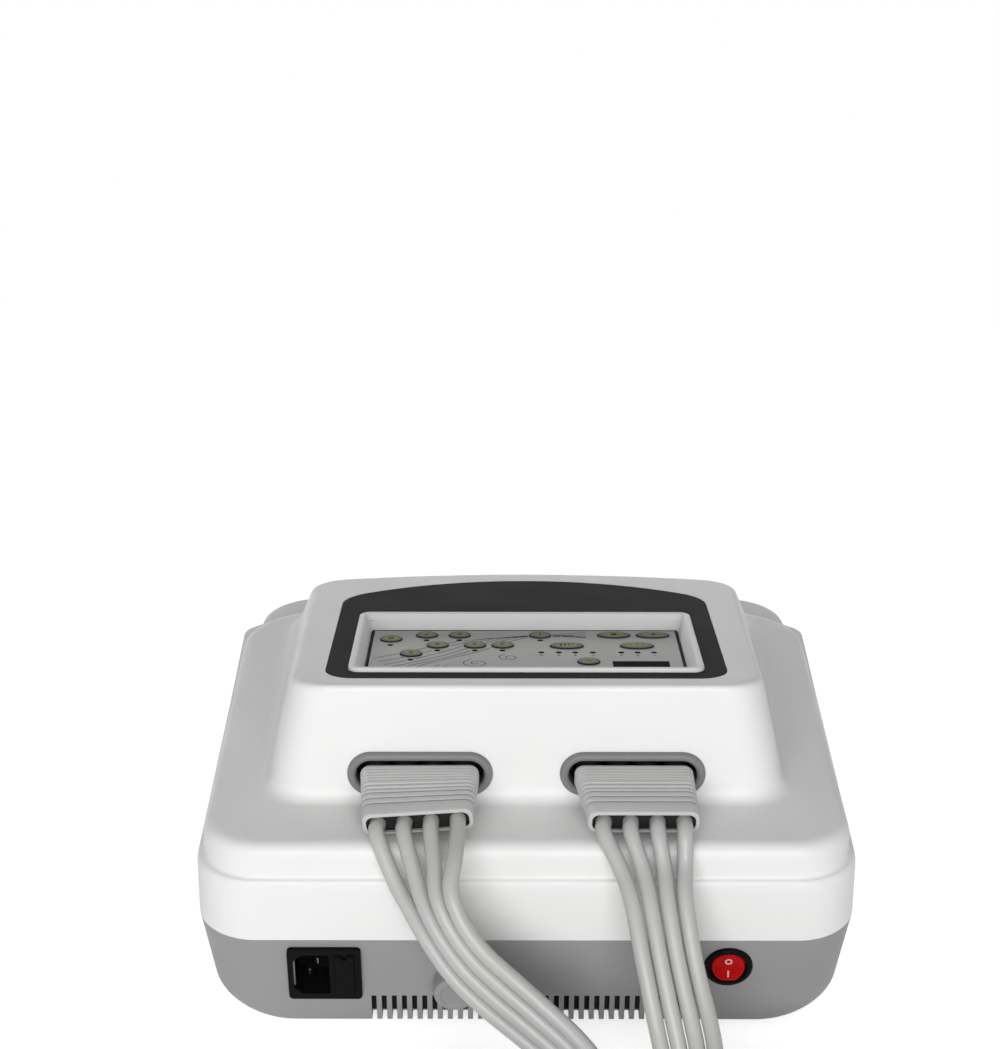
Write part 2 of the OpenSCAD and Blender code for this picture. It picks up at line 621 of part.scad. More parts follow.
module port_collar(side) {
    color(GREY * 0.95) on_port(side) difference() {
        union() for (turn = [0, 180]) rotate([0, 0, turn]) {
            translate([collar_half, 0, 0]) rotate([0, 0, -90]) rotate_extrude(angle = 180, $fn = 64)
                translate([port_r, 0]) collar_profile();
            translate([-collar_half, port_r, 0]) rotate([90, 0, 90])
                linear_extrude(2 * collar_half) collar_profile();
        }
        // cut flush just behind the housing's wall
        translate([-40, -20, -20 - wall - 2.5]) cube([80, 40, 20]);
    }
}

BARRELS = [for (k = [0:3]) (k - 1.5) * barrel_pitch];

module port_manifold(side) {
    color(BLACK) on_port(side) difference() {
        union() {
            translate([0, 0, -insert_len - 14]) linear_extrude(13) rounded_rect(60, 15, 2);
            for (x = BARRELS) translate([x, 0, -insert_len - 2])
                cylinder(r = nipple_r, h = 9, $fn = 32);
            // ribs that hold the block against the port's sleeve
            for (x = [-1, 1]) translate([x * 28.6 - 1, -4, -insert_len - 2]) cube([2, 8, insert_len - wall - 0.5]);
        }
        for (x = BARRELS) translate([x, 0, -insert_len - 20]) cylinder(r = 1.8, h = 40, $fn = 24);
    }
}

// ---- hose plugs ----

plug_start = collar_proud - 1.3;
bend_share = 0.25;                  // share of a plug's length over which it bends down
function twist_of(side) = side > 0 ? plug_twist : 0;
function sway_of(side) = side > 0 ? 0 : -plug_sway;

// Centre, across and up directions of a plug at a share t of its length
function port_up() = [0, -sin(console_lean), cos(console_lean)];
function port_out() = [0, cos(console_lean), sin(console_lean)];
function droop_at(t) = plug_droop * min(t / bend_share, 1);
function plug_out(t = 1) = cos(droop_at(t)) * port_out() - sin(droop_at(t)) * port_up();
function plug_up(t = 1) = cos(droop_at(t)) * port_up() + sin(droop_at(t)) * port_out();
function plug_at(side, t) =
    let (bent = min(t, bend_share), drop = pow(bent, 2) / bend_share / 2 + t - bent)
    [side * port_x, port_y, port_z + foot_h] + (plug_start + plug_len * t * cos(plug_droop * 0.9)) * port_out()
    - plug_len * drop * sin(plug_droop) * port_up() + [t * sway_of(side), 0, 0];
function plug_frame(side, t) =
    let (a = twist_of(side) * t, across = [1, 0, 0], up = plug_up(t))
    [cos(a) * across - sin(a) * up, cos(a) * up + sin(a) * across];

function plug_ring(side, t, inset) =
    let (w = plug_w / 2 * (1 - 0.09 * t) - inset, h = plug_h / 2 * (1 - 0.04 * t) - inset, r = 4.4 - inset / 2,
         c = plug_at(side, t), f = plug_frame(side, t),
         flat = concat(arc([w - r, h - r], r, 90, 0, 4), arc([w - r, r - h], r, 0, -90, 4),
             arc([r - w, r - h], r, -90, -180, 4), arc([r - w, h - r], r, 180, 90, 4)))
    [for (p = flat) c + p[0] * f[0] + p[1] * f[1]];

// Shares of the length and depths at which the plug's rings lie: grip grooves, the lip and its pocket
lip_w = 2.2;                        // wall round the pocket
GROOVES = [for (i = [0:groove_n - 1]) 0.35 + i * 0.1];
pocket_t = 1 - pocket_len / plug_len;
PLUG_RINGS = concat([[0, 1.2], [0.04, 0]],
    [for (g = GROOVES) each [[g, 0], [g + 0.015, 1], [g + 0.04, 1], [g + 0.055, 0]]],
    [[0.975, 0], [1, 0.9], [1, lip_w], [pocket_t, lip_w]]);

module hose_plug(side) {
    color(HOSE) {
        skin([for (i = [len(PLUG_RINGS) - 1:-1:0]) plug_ring(side, PLUG_RINGS[i][0], PLUG_RINGS[i][1])]);
        on_port(side) difference() {
            union() for (x = BARRELS) translate([x, 0, -insert_len])
                cylinder(r = barrel_r, h = insert_len + plug_start + 2, $fn = 32);
            for (x = BARRELS) translate([x, 0, -insert_len - 1]) cylinder(r = nipple_r + 0.05, h = 9, $fn = 32);
        }
    }
}

// ---- hoses ----

function unit(v) = v / norm(v);
// Where hose k of a bundle runs: its bundle's centre, moved across the ribbon, which turns on edge
function strand(route, k) = [for (i = [0:len(route) - 1])
    let (r = route[i], a = route[max(i - 1, 0)], b = route[min(i + 1, len(route) - 1)],
         along = unit([b[0] - a[0], b[1] - a[1], b[2] - a[2]]),
         across = unit([along[1], -along[0], 0]), up = cross(across, along))
    [r[0], r[1], r[2]] + LANES[k] * r[4] * (cos(r[3]) * across - sin(r[3]) * up)];

// A hose starts at the floor of its plug's pocket and leaves square to the end face
seat_gap = 0.3;
function plug_exit(side, k) =
    let (c = plug_at(side, 1), f = plug_frame(side, 1)) c + LANES[k] * plug_pitch * f[0];
function hose_path(side, k) = concat(
    [plug_exit(side, k) - (pocket_len - seat_gap) * plug_out(), plug_exit(side, k) + hose_d * plug_out()],
    strand(side > 0 ? LEFT_ROUTE : RIGHT_ROUTE, k));

function tube_ring(p, along, r, n) =
    let (t = unit(along), side = unit(cross(t, [0, 0, 1])), up = cross(side, t))
    [for (i = [0:n - 1]) let (a = 360 * (i + 0.5) / n) p + r * (cos(a) * side - sin(a) * up)];
function tube_rings(path, r, n) = let (m = len(path) - 1) [for (i = [0:m])
    tube_ring(path[i], path[min(i + 1, m)] - path[max(i - 1, 0)], r, n)];

// The last ring is square to the coil's start
module hose(side, k) {
    path = hose_path(side, k);
    rings = tube_rings(path, hose_d / 2, 8);
    color(HOSE) skin(concat([for (i = [0:len(path) - 2]) rings[i]],
        [tube_ring(path[len(path) - 1], [0, 1, 0], hose_d / 2, 8)]));
}

// A coil: every hose winds inwards in a layer of its own, and ends in a tighter bend inside the turns
function coil_centre(side) =
    let (end = side > 0 ? LEFT_ROUTE[len(LEFT_ROUTE) - 1] : RIGHT_ROUTE[len(RIGHT_ROUTE) - 1])
    [end[0] + side * coil_r, end[1]];
function coil_radius(a) = coil_r - coil_pitch * a / 360;
function spoke(side, a) = [-side * cos(a), sin(a), 0];
LAYERS = [for (k = [0:3]) LEFT_ROUTE[len(LEFT_ROUTE) - 1][2] - LANES[k] * hose_pitch];
coil_step = 15;
coil_end = 360 * coil_turns;
curl_turn = 120;
function on_coil(side, a) =
    let (c = coil_centre(side)) [c[0], c[1], 0] + coil_radius(a) * spoke(side, a);
function curl_centre(side) =
    let (c = coil_centre(side)) [c[0], c[1], 0] + (coil_radius(coil_end) - curl_r) * spoke(side, coil_end);
function on_curl(side, b) = curl_centre(side) + curl_r * spoke(side, coil_end + b);
function coil_path(side, z) = [for (p = concat(
    [for (i = [0:coil_end / coil_step]) on_coil(side, i * coil_step)],
    [for (b = [0:20:curl_turn]) on_curl(side, b)])) p + [0, 0, z]];

module hose_coil(side) {
    color(HOSE) for (z = LAYERS) skin(coil_rings(side, z));
}
// The first and last rings are square to what they meet
function coil_rings(side, z) =
    let (path = coil_path(side, z), m = len(path) - 1, last = cross([0, 0, -side], spoke(side, coil_end + curl_turn)))
    [for (i = [0:m]) tube_ring(path[i],
        i == 0 ? [0, 1, 0] : i == m ? last : path[i + 1] - path[i - 1], hose_d / 2, 6)];

function least_gap(side) =
    let (path = coil_path(side, 0))
    min([for (i = [0:len(path) - 1], j = [i + 12:1:len(path) - 1]) norm(path[i] - path[j])]) - hose_d;
echo(least_gap_between_turns = min(least_gap(1), least_gap(-1)), between_layers = hose_pitch - hose_d);

// The far end of a bundle: one connector that takes all four hoses, with an outlet for each
module garment_connector(side) {
    a = coil_end + curl_turn;
    p = on_curl(side, curl_turn);
    along = cross([0, 0, -side], spoke(side, a));
    color(HOSE * 0.9) translate([p[0], p[1], 0]) rotate([0, 0, atan2(along[1], along[0])]) {
        difference() {
            translate([0, 0, LAYERS[0] + 12]) rotate([90, 0, 90]) linear_extrude(16) rounded_rect(10, 31.5, 2);
            for (z = LAYERS) translate([12, 0, z]) rotate([0, 90, 0]) cylinder(r = 1.6, h = 6, $fn = 24);
        }
        for (z = LAYERS) translate([16, 0, z]) rotate([0, 90, 0]) difference() {
            cylinder(r = 2.6, h = 7, $fn = 24);
            translate([0, 0, -1]) cylinder(r = 1.6, h = 10, $fn = 24);
        }
    }
}

// ---- power inlet and switch ----

module socket_shape(gap) {
    w = socket_w - gap;
    h = socket_h - gap;
    polygon([[-w / 2, -h / 2 + 4], [-w / 2 + 4, -h / 2], [w / 2, -h / 2],
             [w / 2, h / 2], [-w / 2 + 4, h / 2], [-w / 2, h / 2 - 4]]);
}
socket_x = -6.2;                    // middle of the socket and of the drawer, across the inlet
drawer_x = 9.4;
inlet_flange = 2.2;

module power_inlet() {
    color(BLACK) on_rear(fitting_x, inlet_z) difference() {
        union() {
            linear_extrude(inlet_flange) rounded_rect(inlet_w, inlet_h, 2.2);
            translate([0, 0, -20]) linear_extrude(20.5) rounded_rect(28, 27, 1.4);
        }
        translate([socket_x, 0, -16]) linear_extrude(30) socket_shape(0);
        translate([drawer_x, 0, -17]) linear_extrude(30) square([drawer_w + 0.4, drawer_h + 0.4], center = true);
    }
}

module inlet_pins() {
    color([0.75, 0.75, 0.72]) on_rear(fitting_x, inlet_z)
        for (p = [[-1.6, 7], [-1.6, -7], [2.4, 0]])
            translate([socket_x + p[0] - 1, p[1] - 2, -16]) cube([2, 4, 14]);
}

module fuse_drawer() {
    color([0.09, 0.09, 0.09]) on_rear(fitting_x, inlet_z) translate([drawer_x, 0, 0]) difference() {
        union() {
            translate([0, 0, -15]) linear_extrude(15 + inlet_flange) square([drawer_w, drawer_h], center = true);
            translate([0, 0, inlet_flange - 0.2]) linear_extrude(1) rounded_rect(drawer_w, drawer_h, 1);
        }
        translate([-6, 0, -7]) rotate([90, 0, 0]) translate([6, 0, -10.2]) cylinder(r = 2.7, h = 20.4, $fn = 32);
        translate([-2.7, -10.2, -16]) cube([5.4, 20.4, 9]);
        translate([-1.5, drawer_h / 2 - 2, inlet_flange - 0.4]) cube([3, 4, 2]);
    }
}

module fuse() {
    color([0.8, 0.82, 0.82]) on_rear(fitting_x, inlet_z) translate([drawer_x, 10, -7]) rotate([90, 0, 0]) {
        cylinder(r = 2.3, h = 20, $fn = 32);
        for (z = [0, 14.6]) translate([0, 0, z]) cylinder(r = 2.6, h = 5.4, $fn = 32);
    }
}

module switch_bezel() {
    color(BLACK) on_rear(-fitting_x, switch_z) difference() {
        union() {
            rotate_extrude($fn = 96) polygon([[0, 0], [switch_d / 2, 0], [switch_d / 2, 1],
                [switch_d / 2 - 0.9, 1.9], [rocker_r + 1.2, 2.1], [0, 2.1]]);
            translate([0, 0, -16]) cylinder(r = switch_body_r, h = 16.5, $fn = 64);
        }
        translate([0, 0, -10]) cylinder(r = rocker_r + 0.7, h = 20, $fn = 64);
        translate([0, 0, rocker_pivot_z]) rotate([0, 90, 0])
            translate([0, 0, -rocker_r - 1.2]) cylinder(r = 1.2, h = 2 * rocker_r + 2.4, $fn = 32);
    }
}

module switch_rocker() {
    color([0.75, 0.05, 0.04]) on_rear(-fitting_x, switch_z) translate([0, 0, rocker_pivot_z])
        rotate([-rocker_tilt, 0, 0]) {
            intersection() {
                translate([0, 0, -3]) cylinder(r = rocker_r, h = 12, $fn = 64);
                rotate([90, 0, 90]) linear_extrude(30, center = true)
                    polygon([[-7, -1.5], [7, -1.5], [7.4, 5.6], [4, 5], [0, 4.5], [-4, 5], [-7.4, 5.6]]);
            }
            rotate([0, 90, 0]) cylinder(r = 1.15, h = 2 * rocker_r + 1.8, center = true, $fn = 32);
        }
}

module filter_cap() {
    color(GREY * 0.9) on_rear(cap_x, cap_z) {
        rotate_extrude($fn = 96) polygon([[0, 0], [cap_d / 2 - 0.4, 0], [cap_d / 2, 0.5],
            [cap_d / 2, cap_proud - 1.4], [cap_d / 2 - 1.4, cap_proud], [0, cap_proud]]);
        translate([0, 0, -8]) cylinder(d = 14, h = 8.5, $fn = 48);
    }
}

// ---- feet, screws and what the housings hold ----

module rubber_feet() {
    color([0.12, 0.12, 0.12]) for (p = FEET) translate([p[0], p[1], 0]) rotate_extrude($fn = 48)
        polygon([[0, 0], [foot_d / 2 - 1.5, 0], [foot_d / 2, foot_h * 0.7], [foot_d / 2, foot_h], [0, foot_h]]);
}

module housing_screws() {
    color([0.7, 0.7, 0.72]) on_feet() for (p = SCREWS) translate([p[0], p[1], 0]) {
        translate([0, 0, screw_seat_z - screw_head_h]) cylinder(d = screw_head_d, h = screw_head_h, $fn = 32);
        translate([0, 0, screw_seat_z - 1]) cylinder(d = screw_d, h = boss_top_z + screw_bite - screw_seat_z + 1, $fn = 32);
    }
}

pump_at = [6, -26];
pump_size = [108, 84, 54];
mount_h = 9;
mount_d = 18;

module pump_mounts() {
    color([0.1, 0.1, 0.1]) on_feet() for (x = [-1, 1], y = [-1, 1])
        translate([pump_at[0] + x * (pump_size[0] / 2 - 12), pump_at[1] + y * (pump_size[1] / 2 - 11), wall])
            rotate_extrude($fn = 48) polygon([[0, 0], [mount_d / 2, 0], [mount_d / 2 - 2.5, mount_h / 2],
                [mount_d / 2, mount_h], [0, mount_h]]);
}

module air_pump() {
    color([0.5, 0.5, 0.52]) on_feet() translate([pump_at[0], pump_at[1], wall + mount_h]) {
        translate([0, 0, 3]) linear_extrude(pump_size[2] - 12) rounded_rect(pump_size[0] - 30, pump_size[1], 8);
        linear_extrude(3.5) rounded_rect(pump_size[0], pump_size[1], 4);
        for (x = [-1, 1]) translate([x * (pump_size[0] / 2 - 18), 0, 24]) rotate([0, x * 90, 0])
            cylinder(r = 20, h = 16, $fn = 64);
        for (i = [-3:3]) translate([-30, i * 10 - 1, pump_size[2] - 10]) cube([60, 2, 8]);
    }
}

module valve_manifold() {
    color([0.2, 0.2, 0.2]) on_feet() translate([-valve_block[0] / 2, valve_y - valve_block[1] / 2, wall])
        cube(valve_block);
}
valve_x = [for (side = [-1, 1], b = BARRELS) side * port_x + b];
valve_tip = valve_h + 6;
valve_top = wall + valve_block[2] + valve_tip;

module solenoid_valves() {
    color([0.72, 0.72, 0.7]) on_feet() for (x = valve_x) translate([x, valve_y, wall + valve_block[2]]) {
        cylinder(d = valve_d, h = valve_h, $fn = 32);
        cylinder(d = tube_d, h = valve_tip, $fn = 32);
    }
}

module air_tubes() {
    color([0.85, 0.85, 0.8]) on_feet() for (x = valve_x) translate([x, valve_y, valve_top])
        cylinder(d = tube_d, h = port_z - tube_top_gap - valve_top, $fn = 24);
}

core = [34, 50, 42];
winding = [48, 34, 30];
core_foot = [40, 66, 1.5];
winding_gap = 9;                    // between the pump's base plate and the winding
transformer_x = pump_at[0] + pump_size[0] / 2 + winding_gap + winding[0] / 2;

module transformer() {
    color([0.35, 0.33, 0.3]) on_feet() translate([transformer_x, pump_at[1] - 4, wall]) {
        translate([-core[0] / 2, -core[1] / 2, 0]) cube(core);
        translate([0, 0, (core[2] - winding[2]) / 2]) linear_extrude(winding[2])
            rounded_rect(winding[0], winding[1], 6);
        translate([-core_foot[0] / 2, -core_foot[1] / 2, 0]) cube(core_foot);
    }
}

board_w = 56;
board_l = 100;
board_x = -body_w / 2 + 37 + board_w / 2;
board_y = pump_at[1] + 2;
board_seat_z = 11;

relay = [14, 12, 10];
chip = [14, 36, 3];

module control_board() {
    color([0.10, 0.30, 0.16]) on_feet() translate([board_x, board_y, board_seat_z]) {
        linear_extrude(board_t) square([board_w, board_l], center = true);
        for (y = [-30, -8, 16]) translate([-16, y, 1.2]) cube(relay);
        translate([6, -20, 1.2]) cube(chip);
    }
}

// ---- the assembly ----

base_housing();
upper_housing();
trim_panel();
keypad_bezel();
keypad_gasket();
keypad_overlay();
display_window();
display_module();
round_button(TIME_BUTTONS[0]);  // button_time_up
round_button(TIME_BUTTONS[1]);  // button_time_down
oval_button(OVAL_BUTTONS[0]);  // button_mode
oval_button(OVAL_BUTTONS[1]);  // button_level
oval_button(OVAL_BUTTONS[2]);  // button_start
oval_button(OVAL_BUTTONS[3]);  // button_stop
for (i = [0:7])
    round_button(ZONE_BUTTONS[i]);
status_leds();
keypad_board();
port_collar(1);  // port_collar_left
port_collar(-1);  // port_collar_right
port_manifold(1);  // port_manifold_left
port_manifold(-1);  // port_manifold_right
hose_plug(1);  // hose_plug_left
hose_plug(-1);  // hose_plug_right
for (k = [0:3]) {
    hose(1, k);
    hose(-1, k);
}
hose_coil(1);  // hose_coil_left
hose_coil(-1);  // hose_coil_right
garment_connector(1);  // garment_connector_left
garment_connector(-1);  // garment_connector_right
power_inlet();
inlet_pins();
fuse_drawer();
fuse();
switch_bezel();
switch_rocker();
filter_cap();
rubber_feet();
housing_screws();
air_pump();
pump_mounts();
valve_manifold();
solenoid_valves();
air_tubes();
transformer();
control_board();
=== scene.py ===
"""Looks of a compression therapy pump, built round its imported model, in metres and in the model's frame."""
import json
import math

import bmesh
import bpy
import numpy as np
from mathutils import Matrix, Vector

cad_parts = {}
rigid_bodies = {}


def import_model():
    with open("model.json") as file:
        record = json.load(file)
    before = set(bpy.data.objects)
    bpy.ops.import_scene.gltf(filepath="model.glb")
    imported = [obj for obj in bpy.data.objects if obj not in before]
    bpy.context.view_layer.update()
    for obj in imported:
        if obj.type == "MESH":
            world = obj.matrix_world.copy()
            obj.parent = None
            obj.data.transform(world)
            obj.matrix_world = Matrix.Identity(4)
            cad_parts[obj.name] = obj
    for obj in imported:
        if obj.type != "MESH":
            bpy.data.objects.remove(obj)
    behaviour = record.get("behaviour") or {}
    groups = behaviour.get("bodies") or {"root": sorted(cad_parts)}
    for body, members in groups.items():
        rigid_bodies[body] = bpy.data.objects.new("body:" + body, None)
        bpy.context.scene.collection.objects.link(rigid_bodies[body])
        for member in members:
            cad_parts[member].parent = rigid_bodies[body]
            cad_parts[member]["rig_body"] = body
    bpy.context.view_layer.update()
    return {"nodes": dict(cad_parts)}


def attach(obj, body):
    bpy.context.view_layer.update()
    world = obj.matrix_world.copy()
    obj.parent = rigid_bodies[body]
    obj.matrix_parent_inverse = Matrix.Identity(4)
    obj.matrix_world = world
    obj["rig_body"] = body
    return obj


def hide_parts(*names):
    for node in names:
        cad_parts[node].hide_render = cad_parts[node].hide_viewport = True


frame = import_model()
nodes = frame["nodes"]
scene = bpy.context.scene
MM = 0.001

# ---- sizes in millimetres, as in the model's source ----

BODY_W, BODY_LEN, BASE_H, WALL = 310, 291, 52, 3
SIDE_TUCK, REAR_TUCK, FRONT_TUCK = 7, 6, 7
FOOT_R, FOOT_END_R, FOOT_H, LIP_H = 14, 2, 2, 2
REAR_CORNER_R, BUMPER_STEP, BUMPER_CORNER_R, BUMPER_FOOT_R = 29, 9, 24, 15
BUMPER_BOW, BUMPER_LEN = 2.5, 31
LEDGE_Z, LEDGE_SLOPE = BASE_H + 27, 0.035
SHOULDER_STEP, SHOULDER_Z, SHOULDER_SLOPE, SHOULDER_FRONT_R = 3.5, BASE_H + 41, 0.0626, 236
CONSOLE_FOOT_W, CONSOLE_W, CONSOLE_FLARE, CONSOLE_BOW, CONSOLE_CORNER_R = 246, 220, 0.027, 11, 20
CONSOLE_SETBACK, CONSOLE_LEN, CONSOLE_H, PANEL_TILT = 51.5, 202, 159, 14
TRIM_T, TRIM_W, TRIM_LEN, TRIM_SETBACK, TRIM_FRONT_R = 1.2, 190, 181, 11, 147
BEZEL_W, BEZEL_LEN, BEZEL_H = 169, 101, 2
KEYPAD_W, KEYPAD_LEN, KEYPAD_DEPTH, OVERLAY_T = 156.6, 88, 6, 1.2
BUTTON_D, OVAL_L, OVAL_W, BUTTON_PROUD, KEY_STEM_R, LED_D = 11.2, 17, 10.5, 0.8, 2, 3
PORT_X, PORT_Z, COLLAR_W, COLLAR_H, COLLAR_BAND, COLLAR_PROUD = 50, 113.5, 68.5, 22.6, 4.2, 3.6
FITTING_X, INLET_Z, SWITCH_Z, SWITCH_D, SWITCH_BODY_R = 94.5, 32, 36, 23, 10
ROCKER_R, ROCKER_HALF, ROCKER_TILT, ROCKER_PIVOT_Z = 7.9, 7.4, 8, -3
CAP_X, CAP_Z, CAP_D, CAP_PROUD, CAP_STEM_R, INLET_HOLE = 33.5, 27, 20, 11, 7, (28.4, 27.4)
VENT_N, VENT_PITCH, VENT_W, VENT_TOP, VENT_CUT = 31, 4.8, 2.4, 16.5, 20
ARCH_HALF_W, ARCH_H, ARCH_DEPTH = 77, 23, 23
HOSE_D, PLUG_PITCH, HOSE_PITCH = 7.5, 12.3, 8
PLUG_W, PLUG_H, PLUG_LEN, PLUG_DROOP, PLUG_TWIST, PLUG_SWAY = 56, 13.4, 33.5, 14, 5, 3.7
BEND_SHARE, POCKET_LEN = 0.25, 5
BARREL_PITCH, BARREL_R, INSERT_LEN = 13.4, 6.5, 12
COIL_R, COIL_PITCH, COIL_TURNS, CURL_R, CURL_TURN = 61, 8.1, 3.1, 28, 120
HOSE_STEPS, HOSE_SIDES, COIL_STEPS, CURL_STEPS = 4, 16, 222, 25

BASE_LEAN = math.atan(REAR_TUCK / BASE_H)
CAP_REACH = (CAP_PROUD * math.cos(BASE_LEAN) + CAP_D / 2 * math.sin(BASE_LEAN)
             - REAR_TUCK * (1 - CAP_Z / BASE_H))
REAR_Y = (BODY_LEN - CAP_REACH) / 2
FRONT_Y = REAR_Y - BODY_LEN
CONSOLE_REAR_Y = REAR_Y - CONSOLE_SETBACK
CONSOLE_FRONT_Y = CONSOLE_REAR_Y - CONSOLE_LEN
TOP_SLOPE = math.tan(math.radians(PANEL_TILT))
TOP_Z = CONSOLE_H - TOP_SLOPE * CONSOLE_REAR_Y
FOOT_REAR_Y, FOOT_FRONT_Y = CONSOLE_REAR_Y + 4.6, CONSOLE_FRONT_Y - 2.4
WALL_LOW = (FOOT_REAR_Y, SHOULDER_Z + 5.5 + SHOULDER_SLOPE * FOOT_REAR_Y)
WALL_HIGH = (CONSOLE_REAR_Y + 0.4, TOP_Z - 5 + TOP_SLOPE * (CONSOLE_REAR_Y + 0.4))
CONSOLE_LEAN = math.atan((WALL_LOW[0] - WALL_HIGH[0]) / (WALL_HIGH[1] - WALL_LOW[1]))
PORT_Y = WALL_HIGH[0] + (WALL_HIGH[1] - PORT_Z) * math.tan(CONSOLE_LEAN)
KEYPAD_REAR = -27.4
KEYPAD_MID = KEYPAD_REAR - KEYPAD_LEN / 2
BEZEL_REAR = KEYPAD_REAR + 6.5
FACE_Z = -KEYPAD_DEPTH
OVERLAY_Z = FACE_Z - OVERLAY_T

TIME_KEYS = [(-30.8, -42.3), (-30.8, -58.3)]
OVAL_KEYS = [(-55.8, -85.6), (-20.8, -85.6), (-64.8, -104.9), (-45.1, -104.9)]
ZONE_KEYS = [(-7.7, -105), (11.3, -86.9), (25.1, -86.9), (43.7, -86.9),
             (56.5, -72), (33.1, -105), (49.6, -105), (67.5, -97.7)]
DISPLAY = (-56.3, -49.6)
MODE_LEDS = [-63.7, -55.6, -47.5]
LEVEL_LEDS = [-33.4, -24.7, -16.5, -7.9]
LED_ROW = -74.6
LEDS = ([(x, LED_ROW) for x in MODE_LEDS + LEVEL_LEDS]
        + [(x, s + (10.2 if i in (4, 7) else 8.9)) for i, (x, s) in enumerate(ZONE_KEYS)])

# Routes of the two hose bundles: x, y, z, how far the ribbon of four has turned on edge, and its spacing
LEFT_ROUTE = [
    (46.5, 150.5, 101, 40, 11), (43.6, 161.5, 92, 64, 9.4), (36.8, 170, 80.5, 80, 8.2),
    (26.4, 177, 68, 88, 8), (13.1, 182, 56, 89, 8), (-1.8, 187.5, 44.5, 90, 8),
    (-16.1, 194.5, 34.5, 90, 8), (-27.4, 203, 26.5, 90, 8), (-33.8, 213.5, 21, 90, 8),
    (-36, 225.5, 17.5, 90, 8), (-35.8, 236.5, 15.8, 90, 8), (-34, 247.5, 15.8, 90, 8),
    (-32, 257.5, 15.8, 90, 8), (-31, 267.5, 15.8, 90, 8)]
RIGHT_ROUTE = [
    (-57.4, 145.5, 98, 0, 9.8), (-59.2, 156.5, 90, 0, 8.3), (-61.3, 165.5, 79.5, 0, 8),
    (-63.7, 173.5, 68, 1, 8), (-66.7, 181.5, 56, 5, 8), (-69.8, 189.5, 44.5, 13, 8),
    (-72.3, 197.5, 34.5, 27, 8), (-73.6, 206.5, 26.5, 44, 8), (-74, 216.5, 21, 62, 8),
    (-73.4, 228.5, 17.5, 77, 8), (-71, 240.5, 15.8, 87, 8), (-68, 251.5, 15.8, 90, 8),
    (-66, 259.5, 15.8, 90, 8), (-65.5, 267.5, 15.8, 90, 8)]

# ---- camera: the photograph's rear view ----

CAMERA_AT = (0.01043, 1.01324, 0.71927)
CAMERA_DOWN, CAMERA_TURN = math.radians(27.187), math.radians(0.123)
FOCAL_PIXELS, PHOTO_HEIGHT = 2324.4, 1049

camera = bpy.data.objects.new("camera", bpy.data.cameras.new("camera"))
camera.data.sensor_width = 36
camera.data.lens = FOCAL_PIXELS / PHOTO_HEIGHT * camera.data.sensor_width
camera.location = CAMERA_AT
camera.rotation_euler = (math.pi / 2 - CAMERA_DOWN, 0, math.pi + CAMERA_TURN)
scene.collection.objects.link(camera)
scene.camera = camera

# ---- finishes ----


def add_node(tree, kind, values=None, **settings):
    """A node with its settings made and its sockets set or linked; returns its outputs."""
    made = tree.nodes.new(kind)
    for key, value in settings.items():
        setattr(made, key, value)
    for socket, value in (values or {}).items():
        for each in value if isinstance(value, list) else [value]:
            if isinstance(each, bpy.types.NodeSocket):
                tree.links.new(each, made.inputs[socket])
            else:
                made.inputs[socket].default_value = each
    return made.outputs


class Finish:
    """A procedural material on object coordinates, with short calls for its nodes."""

    def __init__(self, name, roughness, **sockets):
        self.material = bpy.data.materials.new(name)
        self.material.use_nodes = True
        self.tree = self.material.node_tree
        self.shader = self.tree.nodes["Principled BSDF"]
        self.shader.inputs["Roughness"].default_value = roughness
        for socket, value in sockets.items():
            self.shader.inputs[socket.replace("_", " ")].default_value = value
        self.where = self.node("TexCoord")

    def node(self, kind, values=None, **settings):
        return add_node(self.tree, "ShaderNode" + kind, values, **settings)

    def to(self, socket, value):
        self.tree.links.new(value, self.shader.inputs[socket])

    def noise(self, scale, detail=2.0, stretch=(1, 1, 1), coordinates="Object"):
        mapped = self.node("Mapping", {"Vector": self.where[coordinates], "Scale": stretch})
        return self.node("TexNoise", {"Vector": mapped[0], "Scale": scale, "Detail": detail})[0]

    def ranged(self, value, low, high, start=0.3, end=0.7):
        return self.node("MapRange", {"Value": value, "From Min": start, "From Max": end,
                                      "To Min": low, "To Max": high})[0]

    def blended(self, value, under, over):
        """A colour laid over another one, or over colours that are already mixed."""
        if isinstance(under, tuple):
            under = (*under, 1)
        return self.node("Mix", {"Factor": value, 6: under, 7: (*over, 1)}, data_type="RGBA")[2]

    def colours(self, value, first, second):
        mixed = self.blended(value, first, second)
        self.to("Base Color", mixed)
        return mixed

    def bump(self, height, depth, strength=1.0, under=None):
        below = {} if under is None else {"Normal": under}
        made = self.node("Bump", {"Height": height, "Distance": depth, "Strength": strength, **below})[0]
        self.to("Normal", made)
        return made


def shade(colour, share):
    return tuple(min(c * share, 1) for c in colour)


def moulded(name, colour, roughness, gloss, grain=1100, depth=0.000012, mottle=0.03, **sockets):
    """Moulded plastic: a fine grain, faint clouds in its colour and handling marks in its gloss."""
    finish = Finish(name, roughness, Specular_IOR_Level=gloss, **sockets)
    clouds = finish.noise(11, 3)
    finish.colours(finish.ranged(clouds, 0, 1), shade(colour, 1 - mottle), shade(colour, 1 + mottle))
    finish.to("Roughness", finish.ranged(finish.noise(38, 5), roughness - 0.05, roughness + 0.06))
    fine = finish.bump(finish.noise(grain, 2), depth)
    finish.bump(finish.noise(70, 2), 0.00004, 0.4, under=fine)
    return finish.material


